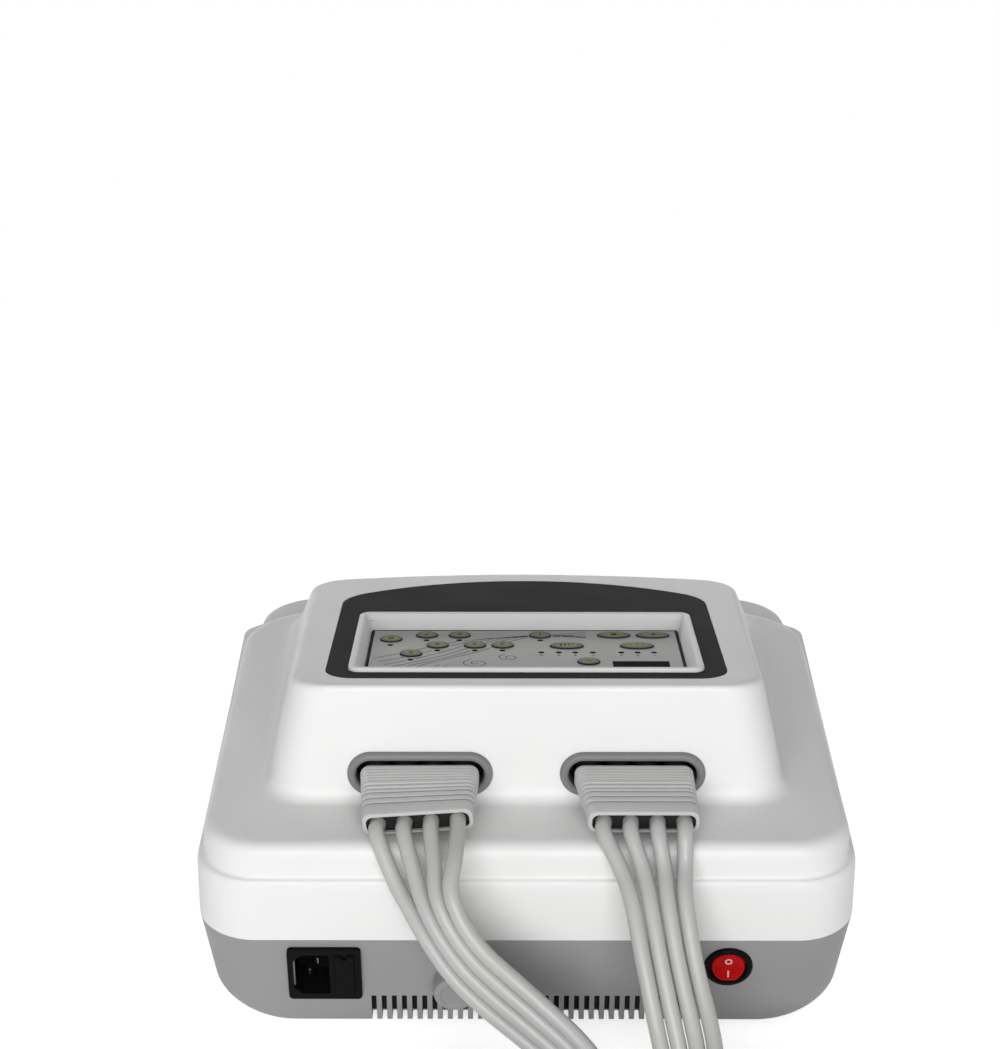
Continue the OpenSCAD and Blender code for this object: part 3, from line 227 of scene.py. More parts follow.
def metal(name, colour, roughness, scratch=(1, 1, 1)):
    finish = Finish(name, roughness, Metallic=1.0)
    finish.colours(finish.ranged(finish.noise(60, 4), 0, 1), shade(colour, 0.9), shade(colour, 1.06))
    lines = finish.noise(900, 2, scratch)
    finish.to("Roughness", finish.ranged(lines, roughness - 0.06, roughness + 0.1))
    finish.bump(lines, 0.000008)
    return finish.material


def hose_finish():
    """Extruded soft plastic: faint lines along the hose, a slow change of tint and a soft gloss."""
    finish = Finish("hose grey", 0.36, Specular_IOR_Level=0.4, Subsurface_Weight=0.06, Subsurface_Scale=1,
                    Subsurface_Radius=(0.004, 0.004, 0.003), Coat_Weight=0.12, Coat_Roughness=0.25)
    tint = finish.ranged(finish.noise(16, 2), 0, 1, 0.42, 0.72)
    finish.colours(tint, (0.47, 0.47, 0.465), (0.50, 0.497, 0.455))
    lines = finish.noise(1, 3, (46, 5, 1), "UV")
    finish.to("Roughness", finish.ranged(lines, 0.3, 0.44))
    drawn = finish.bump(lines, 0.00005, 0.6)
    finish.bump(finish.noise(1400, 2), 0.000008, under=drawn)
    return finish.material


def silver_face_finish():
    """Printed silver film over the keypad: fine flakes and a very shallow orange peel."""
    finish = Finish("silver face", 0.42, Metallic=0.05, Specular_IOR_Level=0.04)
    flakes = finish.node("TexVoronoi", {"Vector": finish.where["Object"], "Scale": 3600})
    finish.colours(flakes["Distance"], (0.56, 0.565, 0.55), (0.48, 0.485, 0.475))
    finish.to("Roughness", finish.ranged(finish.noise(90, 3), 0.36, 0.5))
    finish.bump(finish.noise(420, 2), 0.00001)
    return finish.material


def key_finish():
    """A translucent cap over a printed spot: grey round the edge, olive inside, by the cap's own map, and a
    near-black band of painted shade at its rim and down its side.
    """
    finish = Finish("key grey", 0.4, Specular_IOR_Level=0.015)
    grey = finish.colours(finish.ranged(finish.noise(60, 3), 0, 1), (0.21, 0.215, 0.205), (0.25, 0.255, 0.24))
    offset = finish.node("VectorMath", {0: finish.where["UV"], 1: (0.5, 0.5, 0)}, operation="SUBTRACT")
    away = finish.node("VectorMath", {0: offset[0]}, operation="LENGTH")["Value"]
    spot = finish.blended(finish.ranged(away, 1, 0, 0.29, 0.36), grey, (0.33, 0.34, 0.17))
    # near black from the rim outwards: painted shade where the cap meets the face
    finish.to("Base Color", finish.blended(finish.ranged(away, 0, 1, 0.465, 0.485), spot, (0.05, 0.05, 0.05)))
    finish.bump(finish.noise(1600, 2), 0.000008)
    return finish.material


def rocker_finish():
    """Clear red paddle: a red that changes faintly at random, under a thin glossy coat."""
    finish = Finish("red paddle", 0.22, Specular_IOR_Level=0.05, Coat_Weight=0.02, Coat_Roughness=0.08)
    finish.colours(finish.ranged(finish.noise(240, 3), 0, 1), (0.40, 0.004, 0.005), (0.56, 0.008, 0.008))
    finish.bump(finish.noise(500, 2), 0.000006)
    return finish.material


def board_finish():
    """Green lacquer over a circuit board's tracks."""
    finish = Finish("circuit board", 0.3, Coat_Weight=0.4)
    cells = finish.node("TexVoronoi", {"Vector": finish.where["Object"], "Scale": 320},
                        distance="MANHATTAN", feature="F1")["Distance"]
    finish.colours(finish.ranged(cells, 0, 1, 0.35, 0.45), (0.02, 0.12, 0.05), (0.05, 0.24, 0.09))
    finish.bump(cells, 0.00003)
    return finish.material


FINISHES = {"silver_face": silver_face_finish(), "key_grey": key_finish(), "red_paddle": rocker_finish(),
            "hose_grey": hose_finish(), "circuit_board": board_finish()}
# Slot, colour, roughness, gloss and the rest
for slot, colour, roughness, gloss, more in (
        ("white_shell", (0.82, 0.82, 0.815), 0.42, 0.3, {"mottle": 0.012}),
        ("grey_shell", (0.29, 0.29, 0.292), 0.5, 0.3, {"mottle": 0.03}),
        ("collar_grey", (0.20, 0.20, 0.202), 0.45, 0.3, {"mottle": 0.05}),
        ("dark_trim", (0.05, 0.05, 0.051), 0.5, 0.004, {"grain": 1700, "mottle": 0.08}),
        ("display", (0.008, 0.008, 0.009), 0.25, 0.002, {"depth": 0.000003}),
        ("led", (0.012, 0.008, 0.008), 0.2, 0.01, {"depth": 0.000003, "mottle": 0.2}),
        ("black_plastic", (0.006, 0.006, 0.0065), 0.36, 0.03, {"mottle": 0.15}),
        ("plug_grey", (0.53, 0.53, 0.525), 0.5, 0.25, {"grain": 700, "depth": 0.00003, "mottle": 0.05}),
        ("rubber_black", (0.02, 0.02, 0.02), 0.8, 0.2, {"grain": 600, "depth": 0.00004, "mottle": 0.2}),
        ("fuse_glass", (0.85, 0.88, 0.88), 0.06, 0.5, {"depth": 0.000002, "Transmission_Weight": 0.6}),
        ("clear_tube", (0.75, 0.76, 0.72), 0.2, 0.5, {"Transmission_Weight": 0.3}),
        ("ink", (0.045, 0.045, 0.048), 0.6, 0.004, {"depth": 0.000004, "mottle": 0.15}),
        ("white_ink", (0.85, 0.42, 0.42), 0.5, 0.5, {"depth": 0.000004, "mottle": 0.05}),
        # near black: painted shade on the barrels inside the port and in the plug's pocket
        ("barrel_painted_shade", (0.02, 0.02, 0.02), 0.6, 0.1, {"mottle": 0.1}),
        ("dim_segment", (0.022, 0.010, 0.010), 0.4, 0.002, {"depth": 0.000003})):
    FINISHES[slot] = moulded(slot.replace("_", " "), colour, roughness, gloss, **more)
for slot, *look in (
        # the pins' metal is painted dark: painted shade for blades set deep in the socket
        ("pin_metal", (0.13, 0.125, 0.11), 0.34, (1, 1, 0.1)),
        ("screw_steel", (0.56, 0.56, 0.57), 0.3),
        ("pump_metal", (0.62, 0.63, 0.64), 0.48),
        ("valve_metal", (0.60, 0.60, 0.58), 0.35, (1, 1, 0.1)),
        ("iron_core", (0.22, 0.21, 0.20), 0.5, (0.1, 1, 1))):
    FINISHES[slot] = metal(slot.replace("_", " "), *look)

NODE_SLOTS = {
    "white_shell": ["upper_housing", "keypad_bezel"],
    "grey_shell": ["base_housing", "filter_cap"],
    "collar_grey": ["port_collar_left", "port_collar_right"],
    "dark_trim": ["trim_panel"],
    "silver_face": ["keypad_overlay"],
    "key_grey": [n for n in nodes if n.startswith("button_")],
    "display": ["display_window"],
    "led": ["status_leds"],
    "black_plastic": ["power_inlet", "fuse_drawer", "switch_bezel", "port_manifold_left",
                      "port_manifold_right", "keypad_gasket", "display_module", "valve_manifold"],
    "red_paddle": ["switch_rocker"],
    "hose_grey": [n for n in nodes if n.startswith("hose_left") or n.startswith("hose_right")
                  or n.startswith("hose_coil")],
    "plug_grey": ["hose_plug_left", "hose_plug_right", "garment_connector_left", "garment_connector_right"],
    "rubber_black": ["rubber_feet", "pump_mounts"],
    "pin_metal": ["inlet_pins"],
    "screw_steel": ["housing_screws"],
    "fuse_glass": ["fuse"],
    "circuit_board": ["keypad_board", "control_board"],
    "pump_metal": ["air_pump"],
    "valve_metal": ["solenoid_valves"],
    "iron_core": ["transformer"],
    "clear_tube": ["air_tubes"],
}
for slot, names in NODE_SLOTS.items():
    for name in names:
        node_mesh = nodes[name].data
        node_mesh.materials.clear()
        node_mesh.materials.append(FINISHES[slot])

# ---- making meshes ----


def mesh_of(name, points, faces, slot):
    """An object from points in millimetres."""
    mesh = bpy.data.meshes.new(name)
    mesh.from_pydata((np.asarray(points, float) * MM).tolist(), [], faces)
    if slot:
        mesh.materials.append(FINISHES[slot])
    mesh.update()
    piece = bpy.data.objects.new(name, mesh)
    scene.collection.objects.link(piece)
    return piece


def baked(piece):
    """Turns the piece's modifiers into its own mesh."""
    bpy.context.view_layer.update()
    graph = bpy.context.evaluated_depsgraph_get()
    mesh = bpy.data.meshes.new_from_object(piece.evaluated_get(graph))
    piece.modifiers.clear()
    old = piece.data
    piece.data = mesh
    mesh.name = piece.name
    bpy.data.meshes.remove(old)
    return piece


def joined_with(piece, tool, operation):
    """The piece with the tool cut away, added or kept; the tool is used up."""
    cut = piece.modifiers.new("tool", "BOOLEAN")
    cut.solver = "EXACT"
    cut.operation = operation
    cut.object = tool
    baked(piece)
    bpy.data.objects.remove(tool)
    return piece


def even(piece, angle=32):
    """Smooth shading that keeps flat faces flat and edges past the angle sharp."""
    piece.data.shade_smooth()
    piece.data.set_sharp_from_angle(angle=math.radians(angle))
    weigh = piece.modifiers.new("even", "WEIGHTED_NORMAL")
    weigh.keep_sharp = True
    return baked(piece)


def stands_for(piece, *names):
    """The piece takes the place and body of these nodes, which are hidden."""
    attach(piece, nodes[names[0]]["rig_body"])
    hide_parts(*names)
    return piece


def rides(piece, node):
    """The piece is an extra one on the node's body."""
    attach(piece, nodes[node]["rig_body"])
    return piece


def reshaped(mesh, change):
    """Runs a change on the mesh in its editable form."""
    shape = bmesh.new()
    shape.from_mesh(mesh)
    change(shape)
    shape.to_mesh(mesh)
    shape.free()


def merged(shape):
    bmesh.ops.remove_doubles(shape, verts=shape.verts, dist=1e-6)
    bmesh.ops.dissolve_limit(shape, angle_limit=math.radians(1), verts=shape.verts, edges=shape.edges)


def outwards(shape):
    if shape.calc_volume(signed=True) < 0:
        bmesh.ops.reverse_faces(shape, faces=shape.faces)


def softened(name, node, roll):
    """A copy of a model's piece, merged, with its edges rolled."""
    piece = bpy.data.objects.new(name, nodes[node].data.copy())
    scene.collection.objects.link(piece)
    reshaped(piece.data, merged)
    edge = piece.modifiers.new("roll", "BEVEL")
    edge.width = roll * MM
    edge.segments = 2
    edge.limit_method = "ANGLE"
    edge.angle_limit = math.radians(35)
    return stands_for(even(baked(piece), 40), node)


def gathered(name, pieces, slot):
    """One object from several, which are used up."""
    shape = bmesh.new()
    for piece in pieces:
        shape.from_mesh(piece.data)
        bpy.data.objects.remove(piece)
    whole = mesh_of(name, [(0, 0, 0)], [], slot)
    shape.to_mesh(whole.data)
    shape.free()
    return whole


def walls(first, second, count):
    """Faces between two rings, each given by the number of its first point."""
    return [(first + j, first + (j + 1) % count, second + (j + 1) % count, second + j) for j in range(count)]


def closed(name, rings, faces, slot):
    """A closed solid on the points of its rings, turned outwards."""
    piece = mesh_of(name, np.vstack(rings), faces, slot)
    reshaped(piece.data, outwards)
    return piece


def skin(name, rings, slot):
    """A closed solid through rings, with one flat face over each end."""
    count = len(rings[0])
    last = (len(rings) - 1) * count
    faces = [list(range(count))[::-1]]
    for start in range(0, last, count):
        faces += walls(start, start + count, count)
    return closed(name, rings, faces + [list(range(last, last + count))], slot)


def band(name, rings, slot):
    """A closed loop of rings, the last one meeting the first."""
    count = len(rings[0])
    total = len(rings) * count
    faces = []
    for start in range(0, total, count):
        faces += walls(start, (start + count) % total, count)
    return closed(name, rings, faces, slot)


def placed(piece, place):
    """Moves the mesh, in millimetres, to a frame whose shift is in millimetres too."""
    shift = Matrix.Diagonal((MM, MM, MM, 1)) @ place @ Matrix.Diagonal((1 / MM, 1 / MM, 1 / MM, 1))
    piece.data.transform(shift)
    piece.data.update()
    return piece


# X right, Y up the slope from the console's rear edge, Z out of the panel
PANEL = (Matrix.Translation((0, CONSOLE_REAR_Y, CONSOLE_H + FOOT_H))
         @ Matrix.Rotation(math.radians(PANEL_TILT), 4, "X"))


def rear_frame(x, z):
    """On the leaning rear wall, seen from behind: X right, Y up, Z out of the wall."""
    return (Matrix.Translation((x, REAR_Y - REAR_TUCK * (1 - z / BASE_H), z + FOOT_H))
            @ Matrix.Rotation(-math.pi / 2 - BASE_LEAN, 4, "X") @ Matrix.Rotation(math.pi, 4, "Z"))


INLET, SWITCH = rear_frame(FITTING_X, INLET_Z), rear_frame(-FITTING_X, SWITCH_Z)


def port_frame(side):
    return (Matrix.Translation((side * PORT_X, PORT_Y, PORT_Z + FOOT_H))
            @ Matrix.Rotation(CONSOLE_LEAN - math.pi / 2, 4, "X") @ Matrix.Rotation(math.pi, 4, "Z"))


# ---- outlines, with FINE steps to each step of the source ----

FINE = 4


def polar(radius, angle):
    """Points round the origin, at angles in radians."""
    return np.stack([radius * np.cos(angle), radius * np.sin(angle)], 1)


def arc(centre, radius, start, end, steps):
    return centre + polar(radius, np.radians(np.linspace(start, end, steps * FINE + 1)))


def chain(*parts):
    """One line through arcs and points, with straight links between them."""
    line = np.atleast_2d(np.array(parts[0], float))
    for part in parts[1:]:
        part, last = np.atleast_2d(np.array(part, float)), line[-1]
        if np.linalg.norm(part[0] - last) > 1e-6:
            line = np.vstack([line, last + (part[0] - last) * np.linspace(0, 1, FINE + 1)[1:, None]])
        line = np.vstack([line, part[1:]])
    return line


def bow(width, y, depth, steps):
    share = np.linspace(1, 0, steps * FINE + 1)
    return np.stack([width * share, y + depth * share ** 2], 1)


def rear_half(w, y, r):
    return chain((0, y), arc((w - r, y - r), r, 90, 0, 8), (w, 0))


def body_half(side, rear, front, low=0.0):
    w = BODY_W / 2 - side
    b = w - BUMPER_STEP * (1 + low / 3)
    y = FRONT_Y + front
    r = BUMPER_CORNER_R + (BUMPER_FOOT_R - BUMPER_CORNER_R) * low
    return chain(rear_half(w, REAR_Y - rear, REAR_CORNER_R),
                 arc((w - 12, FRONT_Y + BUMPER_LEN + 13), 12, 0, -60, 3),
                 (b, FRONT_Y + BUMPER_LEN), arc((b - r, y + BUMPER_BOW + r), r, 0, -90, 5),
                 bow(b - r, y, BUMPER_BOW, 3))


def shoulder_half(inset):
    w, r, big = BODY_W / 2 - SHOULDER_STEP - inset, 34, SHOULDER_FRONT_R - inset
    cy = FRONT_Y + 2 + SHOULDER_FRONT_R
    y = cy - math.sqrt((big - r) ** 2 - (w - r) ** 2)
    turn = math.degrees(math.atan2(y - cy, w - r))
    return chain(rear_half(w, REAR_Y - SHOULDER_STEP - inset, REAR_CORNER_R - 1),
                 arc((w - r, y), r, 0, turn, 5), arc((0, cy), big, turn, -90, 8))


def console_half(w, y_rear, y_front, flare):
    r, turn = CONSOLE_CORNER_R, math.radians(77)
    half = chain(rear_half(w, y_rear, r),
                 arc((w - r, y_front + CONSOLE_BOW + r * math.sin(turn)), r, 0, -77, 7),
                 bow(w - r + r * math.cos(turn), y_front, CONSOLE_BOW, 6))
    half[:, 0] *= 1 + flare * (y_rear - half[:, 1]) / (y_rear - y_front)
    return half


def console_top(inset):
    return console_half(CONSOLE_W / 2 - inset, CONSOLE_REAR_Y - inset, CONSOLE_FRONT_Y + inset, CONSOLE_FLARE)


def console_foot(outset):
    return console_half(CONSOLE_FOOT_W / 2 + outset, FOOT_REAR_Y + outset, FOOT_FRONT_Y - outset, 0)


def ring(half, z, slope=0.0):
    """The whole outline of a half, at a height that rises towards the rear."""
    line = np.vstack([half, half[-2:0:-1] * (-1, 1)])
    return np.column_stack([line, z + slope * line[:, 1] + FOOT_H])


def rounded(rings, reaches, steps=6):
    """Rings whose inner ones give way to a soft curve that reaches towards their neighbours."""
    soft = [rings[0]]
    for i in range(1, len(rings) - 1):
        if not reaches[i]:
            soft.append(rings[i])
            continue
        back, ahead = rings[i - 1] - rings[i], rings[i + 1] - rings[i]
        far_back = np.linalg.norm(back, axis=1, keepdims=True)
        far_ahead = np.linalg.norm(ahead, axis=1, keepdims=True)
        start = rings[i] + back * np.minimum(reaches[i] / far_back, 0.48)
        end = rings[i] + ahead * np.minimum(reaches[i] / far_ahead, 0.48)
        for t in np.linspace(0, 1, steps + 1):
            soft.append((1 - t) ** 2 * start + 2 * t * (1 - t) * rings[i] + t ** 2 * end)
    soft.append(rings[-1])
    return soft


def rounded_rect(w, l, r, steps=8):
    corner = polar(r, np.radians(np.linspace(0, 90, steps + 1)))
    quarter = [corner + (w / 2 - r, l / 2 - r), corner[:, ::-1] * (-1, 1) + (r - w / 2, l / 2 - r),
               -corner + (r - w / 2, r - l / 2), corner[:, ::-1] * (1, -1) + (w / 2 - r, r - l / 2)]
    return np.vstack(quarter)


def slot_line(half, r, steps=24):
    end = polar(r, np.radians(np.linspace(-90, 90, steps + 1)))
    return np.vstack([end + (half, 0), -end - (half, 0)])


def ellipse(a, b, count=48):
    turn = np.linspace(0, 2 * math.pi, count, endpoint=False)
    return np.stack([a * np.cos(turn), b * np.sin(turn)], 1)


def level(outline, z):
    outline = np.asarray(outline, float)
    return np.column_stack([outline, np.full(len(outline), float(z))])


def prism(name, outline, low, high, place, slot=None):
    return placed(skin(name, [level(outline, low), level(outline, high)], slot), place)


# ---- hoses and their plugs ----

LANES = [1.5, 0.5, -0.5, -1.5]


def unit(vector):
    return vector / np.linalg.norm(vector)


PORT_UP = np.array([0, -math.sin(CONSOLE_LEAN), math.cos(CONSOLE_LEAN)])
PORT_OUT = np.array([0, math.cos(CONSOLE_LEAN), math.sin(CONSOLE_LEAN)])
PLUG_START = COLLAR_PROUD - 1.3


def plug_out(t=1.0):
    """Where the plug points at a share of its length: it bends down over the first quarter."""
    droop = math.radians(PLUG_DROOP * min(t / BEND_SHARE, 1))
    return math.cos(droop) * PORT_OUT - math.sin(droop) * PORT_UP


def plug_at(side, t):
    bent = min(t, BEND_SHARE)
    drop = PLUG_LEN * (bent ** 2 / BEND_SHARE / 2 + t - bent) * math.sin(math.radians(PLUG_DROOP))
    reach = PLUG_START + PLUG_LEN * t * math.cos(math.radians(PLUG_DROOP * 0.9))
    sway = np.array([0 if side > 0 else -PLUG_SWAY, 0, 0])
    return np.array([side * PORT_X, PORT_Y, PORT_Z + FOOT_H]) + reach * PORT_OUT - drop * PORT_UP + t * sway


def plug_axes(side, t):
    turn = math.radians(PLUG_TWIST if side > 0 else 0) * t
    across = np.array([1.0, 0, 0])
    up = np.cross(across, plug_out(t))
    return math.cos(turn) * across - math.sin(turn) * up, math.cos(turn) * up + math.sin(turn) * across


def strand(route, k):
    """Where hose k of a bundle runs: the bundle's line, moved across the ribbon, which turns on edge."""
    line = []
    for i, (x, y, z, turned, pitch) in enumerate(route):
        before, after = np.array(route[max(i - 1, 0)][:3]), np.array(route[min(i + 1, len(route) - 1)][:3])
        along = unit(after - before)
        across = unit(np.array([along[1], -along[0], 0]))
        up = np.cross(across, along)
        angle = math.radians(turned)
        out = math.cos(angle) * across - math.sin(angle) * up
        line.append(np.array([x, y, z]) + LANES[k] * pitch * out)
    return line


def curved(points, steps):
    """A smooth line through points."""
    points = [2 * points[0] - points[1]] + list(points) + [2 * points[-1] - points[-2]]
    line = []
    for a, b, c, d in zip(points, points[1:], points[2:], points[3:]):
        for t in np.linspace(0, 1, steps, endpoint=False):
            line.append(0.5 * (2 * b + (c - a) * t + (2 * a - 5 * b + 4 * c - d) * t ** 2
                               + (3 * b - a - 3 * c + d) * t ** 3))
    return line


def coil(side, end, z):
    """A hose's turns inwards in its own layer, and its last tighter bend."""
    centre = np.array([end[0] + side * COIL_R, end[1], z])

    def spoke(angle):
        return np.array([-side * math.cos(math.radians(angle)), math.sin(math.radians(angle)), 0])

    last = 360 * COIL_TURNS
    turns = [centre + (COIL_R - COIL_PITCH * a / 360) * spoke(a) for a in np.linspace(0, last, COIL_STEPS)]
    middle = centre + (COIL_R - COIL_PITCH * COIL_TURNS - CURL_R) * spoke(last)
    return turns + [middle + CURL_R * spoke(last + b) for b in np.linspace(0, CURL_TURN, CURL_STEPS)[1:]]


def tube(name, line, radius, sides, slot):
    """A tube along a line, with a UV map that runs round it and along it."""
    line = np.array(line)
    along = np.gradient(line, axis=0)
    along /= np.linalg.norm(along, axis=1, keepdims=True)
    side = unit(np.cross(along[0], (0, 0, 1)))
    run = np.concatenate([[0], np.cumsum(np.linalg.norm(np.diff(line, axis=0), axis=1))])
    turn = np.linspace(0, 2 * math.pi, sides, endpoint=False)
    rings = []
    for point, ahead in zip(line, along):
        side = unit(side - ahead * np.dot(side, ahead))
        up = np.cross(side, ahead)
        rings.append(point + radius * (np.cos(turn)[:, None] * side + np.sin(turn)[:, None] * up))
    piece = skin(name, rings, slot)
    layer = piece.data.uv_layers.new(name="along").data
    for face in piece.data.polygons:
        spread = [vertex % sides for vertex in face.vertices]
        wraps = len(spread) == 4 and max(spread) == sides - 1 and min(spread) == 0
        for loop, vertex in zip(face.loop_indices, face.vertices):
            around = vertex % sides
            around = sides if wraps and around == 0 else around
            layer[loop].uv = (around / sides, run[vertex // sides] / 100)
    piece.data.shade_smooth()
    piece.data.set_sharp_from_angle(angle=math.radians(50))
    return piece


# Shares of the plug's length, and how far its skin is drawn in there: fine ribs, grip grooves and the lip
PLUG_PROFILE = [(0, 3.0), (0.012, 2.0), (0.035, 0.9), (0.06, 0.3), (0.085, 0)]
for start in (0.12, 0.17, 0.22, 0.27, 0.32):
    PLUG_PROFILE += [(start, 0), (start + 0.012, 0.3), (start + 0.022, 0.3), (start + 0.034, 0)]
for start, depth in ((0.40, 0.55), (0.475, 0.6), (0.55, 1.2), (0.65, 1.4), (0.75, 1.4)):
    PLUG_PROFILE += [(start, 0), (start + 0.007, 0.15), (start + 0.012, depth), (start + 0.036, depth),
                     (start + 0.041, 0.15), (start + 0.048, 0)]
PLUG_PROFILE += [(0.84, -0.1), (0.87, -0.25), (0.965, -0.2), (0.99, 0.1), (1.0, 0.8), (1.0, 1.7)]
POCKET = 1 - POCKET_LEN / PLUG_LEN


def plug_ring(side, t, inset, corner=4.4):
    w = PLUG_W / 2 * (1 - 0.09 * t) - inset
    h = PLUG_H / 2 * (1 - 0.04 * t) - inset
    centre, (across, up) = plug_at(side, t), plug_axes(side, t)
    flat = rounded_rect(2 * w, 2 * h, max(corner - inset / 2, 1.2), 6)
    return centre + flat[:, :1] * across + flat[:, 1:] * up


def hose_plug(side, name):
    """The soft boot: ribs and grooves round it, and a pocket where the hoses come out."""
    rings = [plug_ring(side, t, inset) for t, inset in PLUG_PROFILE]
    rings += [plug_ring(side, 0.985, 1.4), plug_ring(side, POCKET, 1.6)]
    return even(skin(name, rings, "plug_grey"), 38)


def barrels(side, name):
    """The four barrels that go into the port, and a dark block that fills the boot's pocket: both near black,
    painted shade for the shade inside the port and the pocket.
    """
    r = BARREL_R
    profile = [(r - 1.2, -INSERT_LEN), (r, -INSERT_LEN + 1.2),
               (r, PLUG_START - 1), (r - 0.5, PLUG_START + 2.5)]
    rows = [skin("barrel", [level(ellipse(w, w, 32) + (lane * BARREL_PITCH, 0), z) for w, z in profile], None)
            for lane in LANES]
    whole = placed(gathered(name, rows, None), port_frame(side))
    # a dark block filling most of the pocket: painted shade
    pocket_shade = skin("pocket_shade", [plug_ring(side, POCKET + 0.001, 1.65), plug_ring(side, POCKET + 0.11, 1.55)], None)
    return even(gathered(name, [whole, pocket_shade], "barrel_painted_shade"), 38)


SIDES = ((1, "left"), (-1, "right"))
for (side, word), route in zip(SIDES, (LEFT_ROUTE, RIGHT_ROUTE)):
    plug = stands_for(hose_plug(side, f"plug_{word}"), f"hose_plug_{word}")
    ends = stands_for(barrels(side, f"barrels_{word}"), f"hose_plug_{word}")
    connector = softened(f"connector_{word}", f"garment_connector_{word}", 0.6)
    for k in range(4):
        leave = plug_at(side, 1) + LANES[k] * PLUG_PITCH * plug_axes(side, 1)[0]
        inside = leave - plug_out() * (POCKET_LEN - 0.3)
        line = curved([inside, leave, leave + HOSE_D * plug_out()] + strand(route, k), HOSE_STEPS)
        line += coil(side, route[-1], route[-1][2] - LANES[k] * HOSE_PITCH)
        hose = tube(f"hose_{word}_{k + 1}_run", line, HOSE_D / 2, HOSE_SIDES, "hose_grey")
        stands_for(hose, f"hose_{word}_{k + 1}", *([f"hose_coil_{word}"] if k == 0 else []))

# ---- housings ----


def upper_housing():
    """The white moulding: bumper, ledge, shoulder and console in one skin, with its inside."""
    outside = rounded(
        [ring(body_half(0, 0, 0), BASE_H),
         ring(body_half(0.4, 0.6, 0.9), LEDGE_Z, LEDGE_SLOPE),
         ring(shoulder_half(0), LEDGE_Z + 0.8, LEDGE_SLOPE),
         ring(shoulder_half(0.8), SHOULDER_Z - 0.2, SHOULDER_SLOPE),
         ring(console_foot(1.0), SHOULDER_Z + 0.4, SHOULDER_SLOPE),
         ring(console_top(-0.6), TOP_Z, TOP_SLOPE),
         ring(console_top(7), TOP_Z, TOP_SLOPE)],
        [0, 5.5, 1.6, 7.5, 7, 4, 0])
    gap = WALL - (WALL / 2 - 0.1) - 0.2
    inside = [
        ring(console_top(7), TOP_Z - WALL - 0.1, TOP_SLOPE),
        ring(console_top(WALL + 0.6), TOP_Z - WALL - 3, TOP_SLOPE),
        ring(console_foot(-WALL), SHOULDER_Z + 4, SHOULDER_SLOPE),
        ring(console_foot(4 - WALL), SHOULDER_Z - WALL, SHOULDER_SLOPE),
        ring(shoulder_half(7), SHOULDER_Z - WALL, SHOULDER_SLOPE),
        ring(shoulder_half(WALL), SHOULDER_Z - 9, SHOULDER_SLOPE),
        ring(shoulder_half(WALL), LEDGE_Z - 2, LEDGE_SLOPE),
        ring(body_half(WALL + 1, WALL + 1, WALL + 1), LEDGE_Z - WALL - 1.6, LEDGE_SLOPE),
        ring(body_half(WALL, WALL, WALL), BASE_H + LIP_H + 0.3),
        ring(body_half(gap, gap, gap), BASE_H + LIP_H + 0.3),
        ring(body_half(gap, gap, gap), BASE_H)]
    shell = skin("upper_shell", inside + outside, "white_shell")
    joined_with(shell, prism("recess", trim_line(0.25), -TRIM_T, 8, PANEL), "DIFFERENCE")
    hole = rounded_rect(KEYPAD_W + 4.8, KEYPAD_LEN + 4.8, 3) + (0, KEYPAD_MID)
    joined_with(shell, prism("window", hole, -10, 2, PANEL), "DIFFERENCE")
    half, sleeve = COLLAR_W / 2 - COLLAR_H / 2, COLLAR_H / 2 - COLLAR_BAND + 1.9
    for side in (1, -1):
        joined_with(shell, prism("port", slot_line(half, sleeve), -12, 12, port_frame(side)), "DIFFERENCE")
    return even(shell, 30)


def trim_line(gap):
    w, r, rear, f = TRIM_W / 2 + gap, 14, -TRIM_SETBACK + gap, 26
    cy, big = -TRIM_SETBACK - TRIM_LEN + TRIM_FRONT_R, TRIM_FRONT_R + gap
    y = cy - math.sqrt((big - f) ** 2 - (w - f) ** 2)
    turn = math.degrees(math.atan2(y - cy, w - f))
    half = np.vstack([arc((w - r, rear - r), r, 90, 0, 3), arc((w - f, y), f, 0, turn, 3)[:-1],
                      arc((0, cy), big, turn, -90, 8)])
    return np.vstack([half, half[-2::-1] * (-1, 1)])


def rounding(r, z):
    return r - math.sqrt(r * r - max(r - z, 0) ** 2)


def base_half(z, t):
    low = 1 - z / BASE_H
    return body_half(SIDE_TUCK * low + rounding(FOOT_R, z) + t, REAR_TUCK * low + rounding(FOOT_END_R, z) + t,
                     FRONT_TUCK * low + rounding(FOOT_END_R, z) + t, low)


def grown(name, slot, make, values, points=((0, 0, 0),)):
    """Copies of one shape on points, from a node tree whose inputs are set by their identifiers."""
    tree = bpy.data.node_groups.new(name, "GeometryNodeTree")
    kinds = {word: "Int" if isinstance(value, int) else "Float" for word, value in values.items()}
    for word, kind in {"Points": "Geometry", **kinds}.items():
        tree.interface.new_socket(word, in_out="INPUT", socket_type="NodeSocket" + kind)
    tree.interface.new_socket("Geometry", in_out="OUTPUT", socket_type="NodeSocketGeometry")

    def node(kind, values=None, **settings):
        return add_node(tree, kind, values, **settings)

    shape, places = make(node, node("NodeGroupInput"))
    copies = node("GeometryNodeInstanceOnPoints", {"Points": places, "Instance": shape})
    real = node("GeometryNodeRealizeInstances", {0: copies[0]})
    paint = node("GeometryNodeSetMaterial", {"Geometry": real[0], "Material": FINISHES[slot]})
    node("NodeGroupOutput", {0: paint[0]})
    piece = mesh_of(name, points, [], None)
    grow = piece.modifiers.new("grow", "NODES")
    grow.node_group = tree
    for item in tree.interface.items_tree:
        if item.item_type == "SOCKET" and item.in_out == "INPUT" and item.name in values:
            grow[item.identifier] = values[item.name]
    return baked(piece)


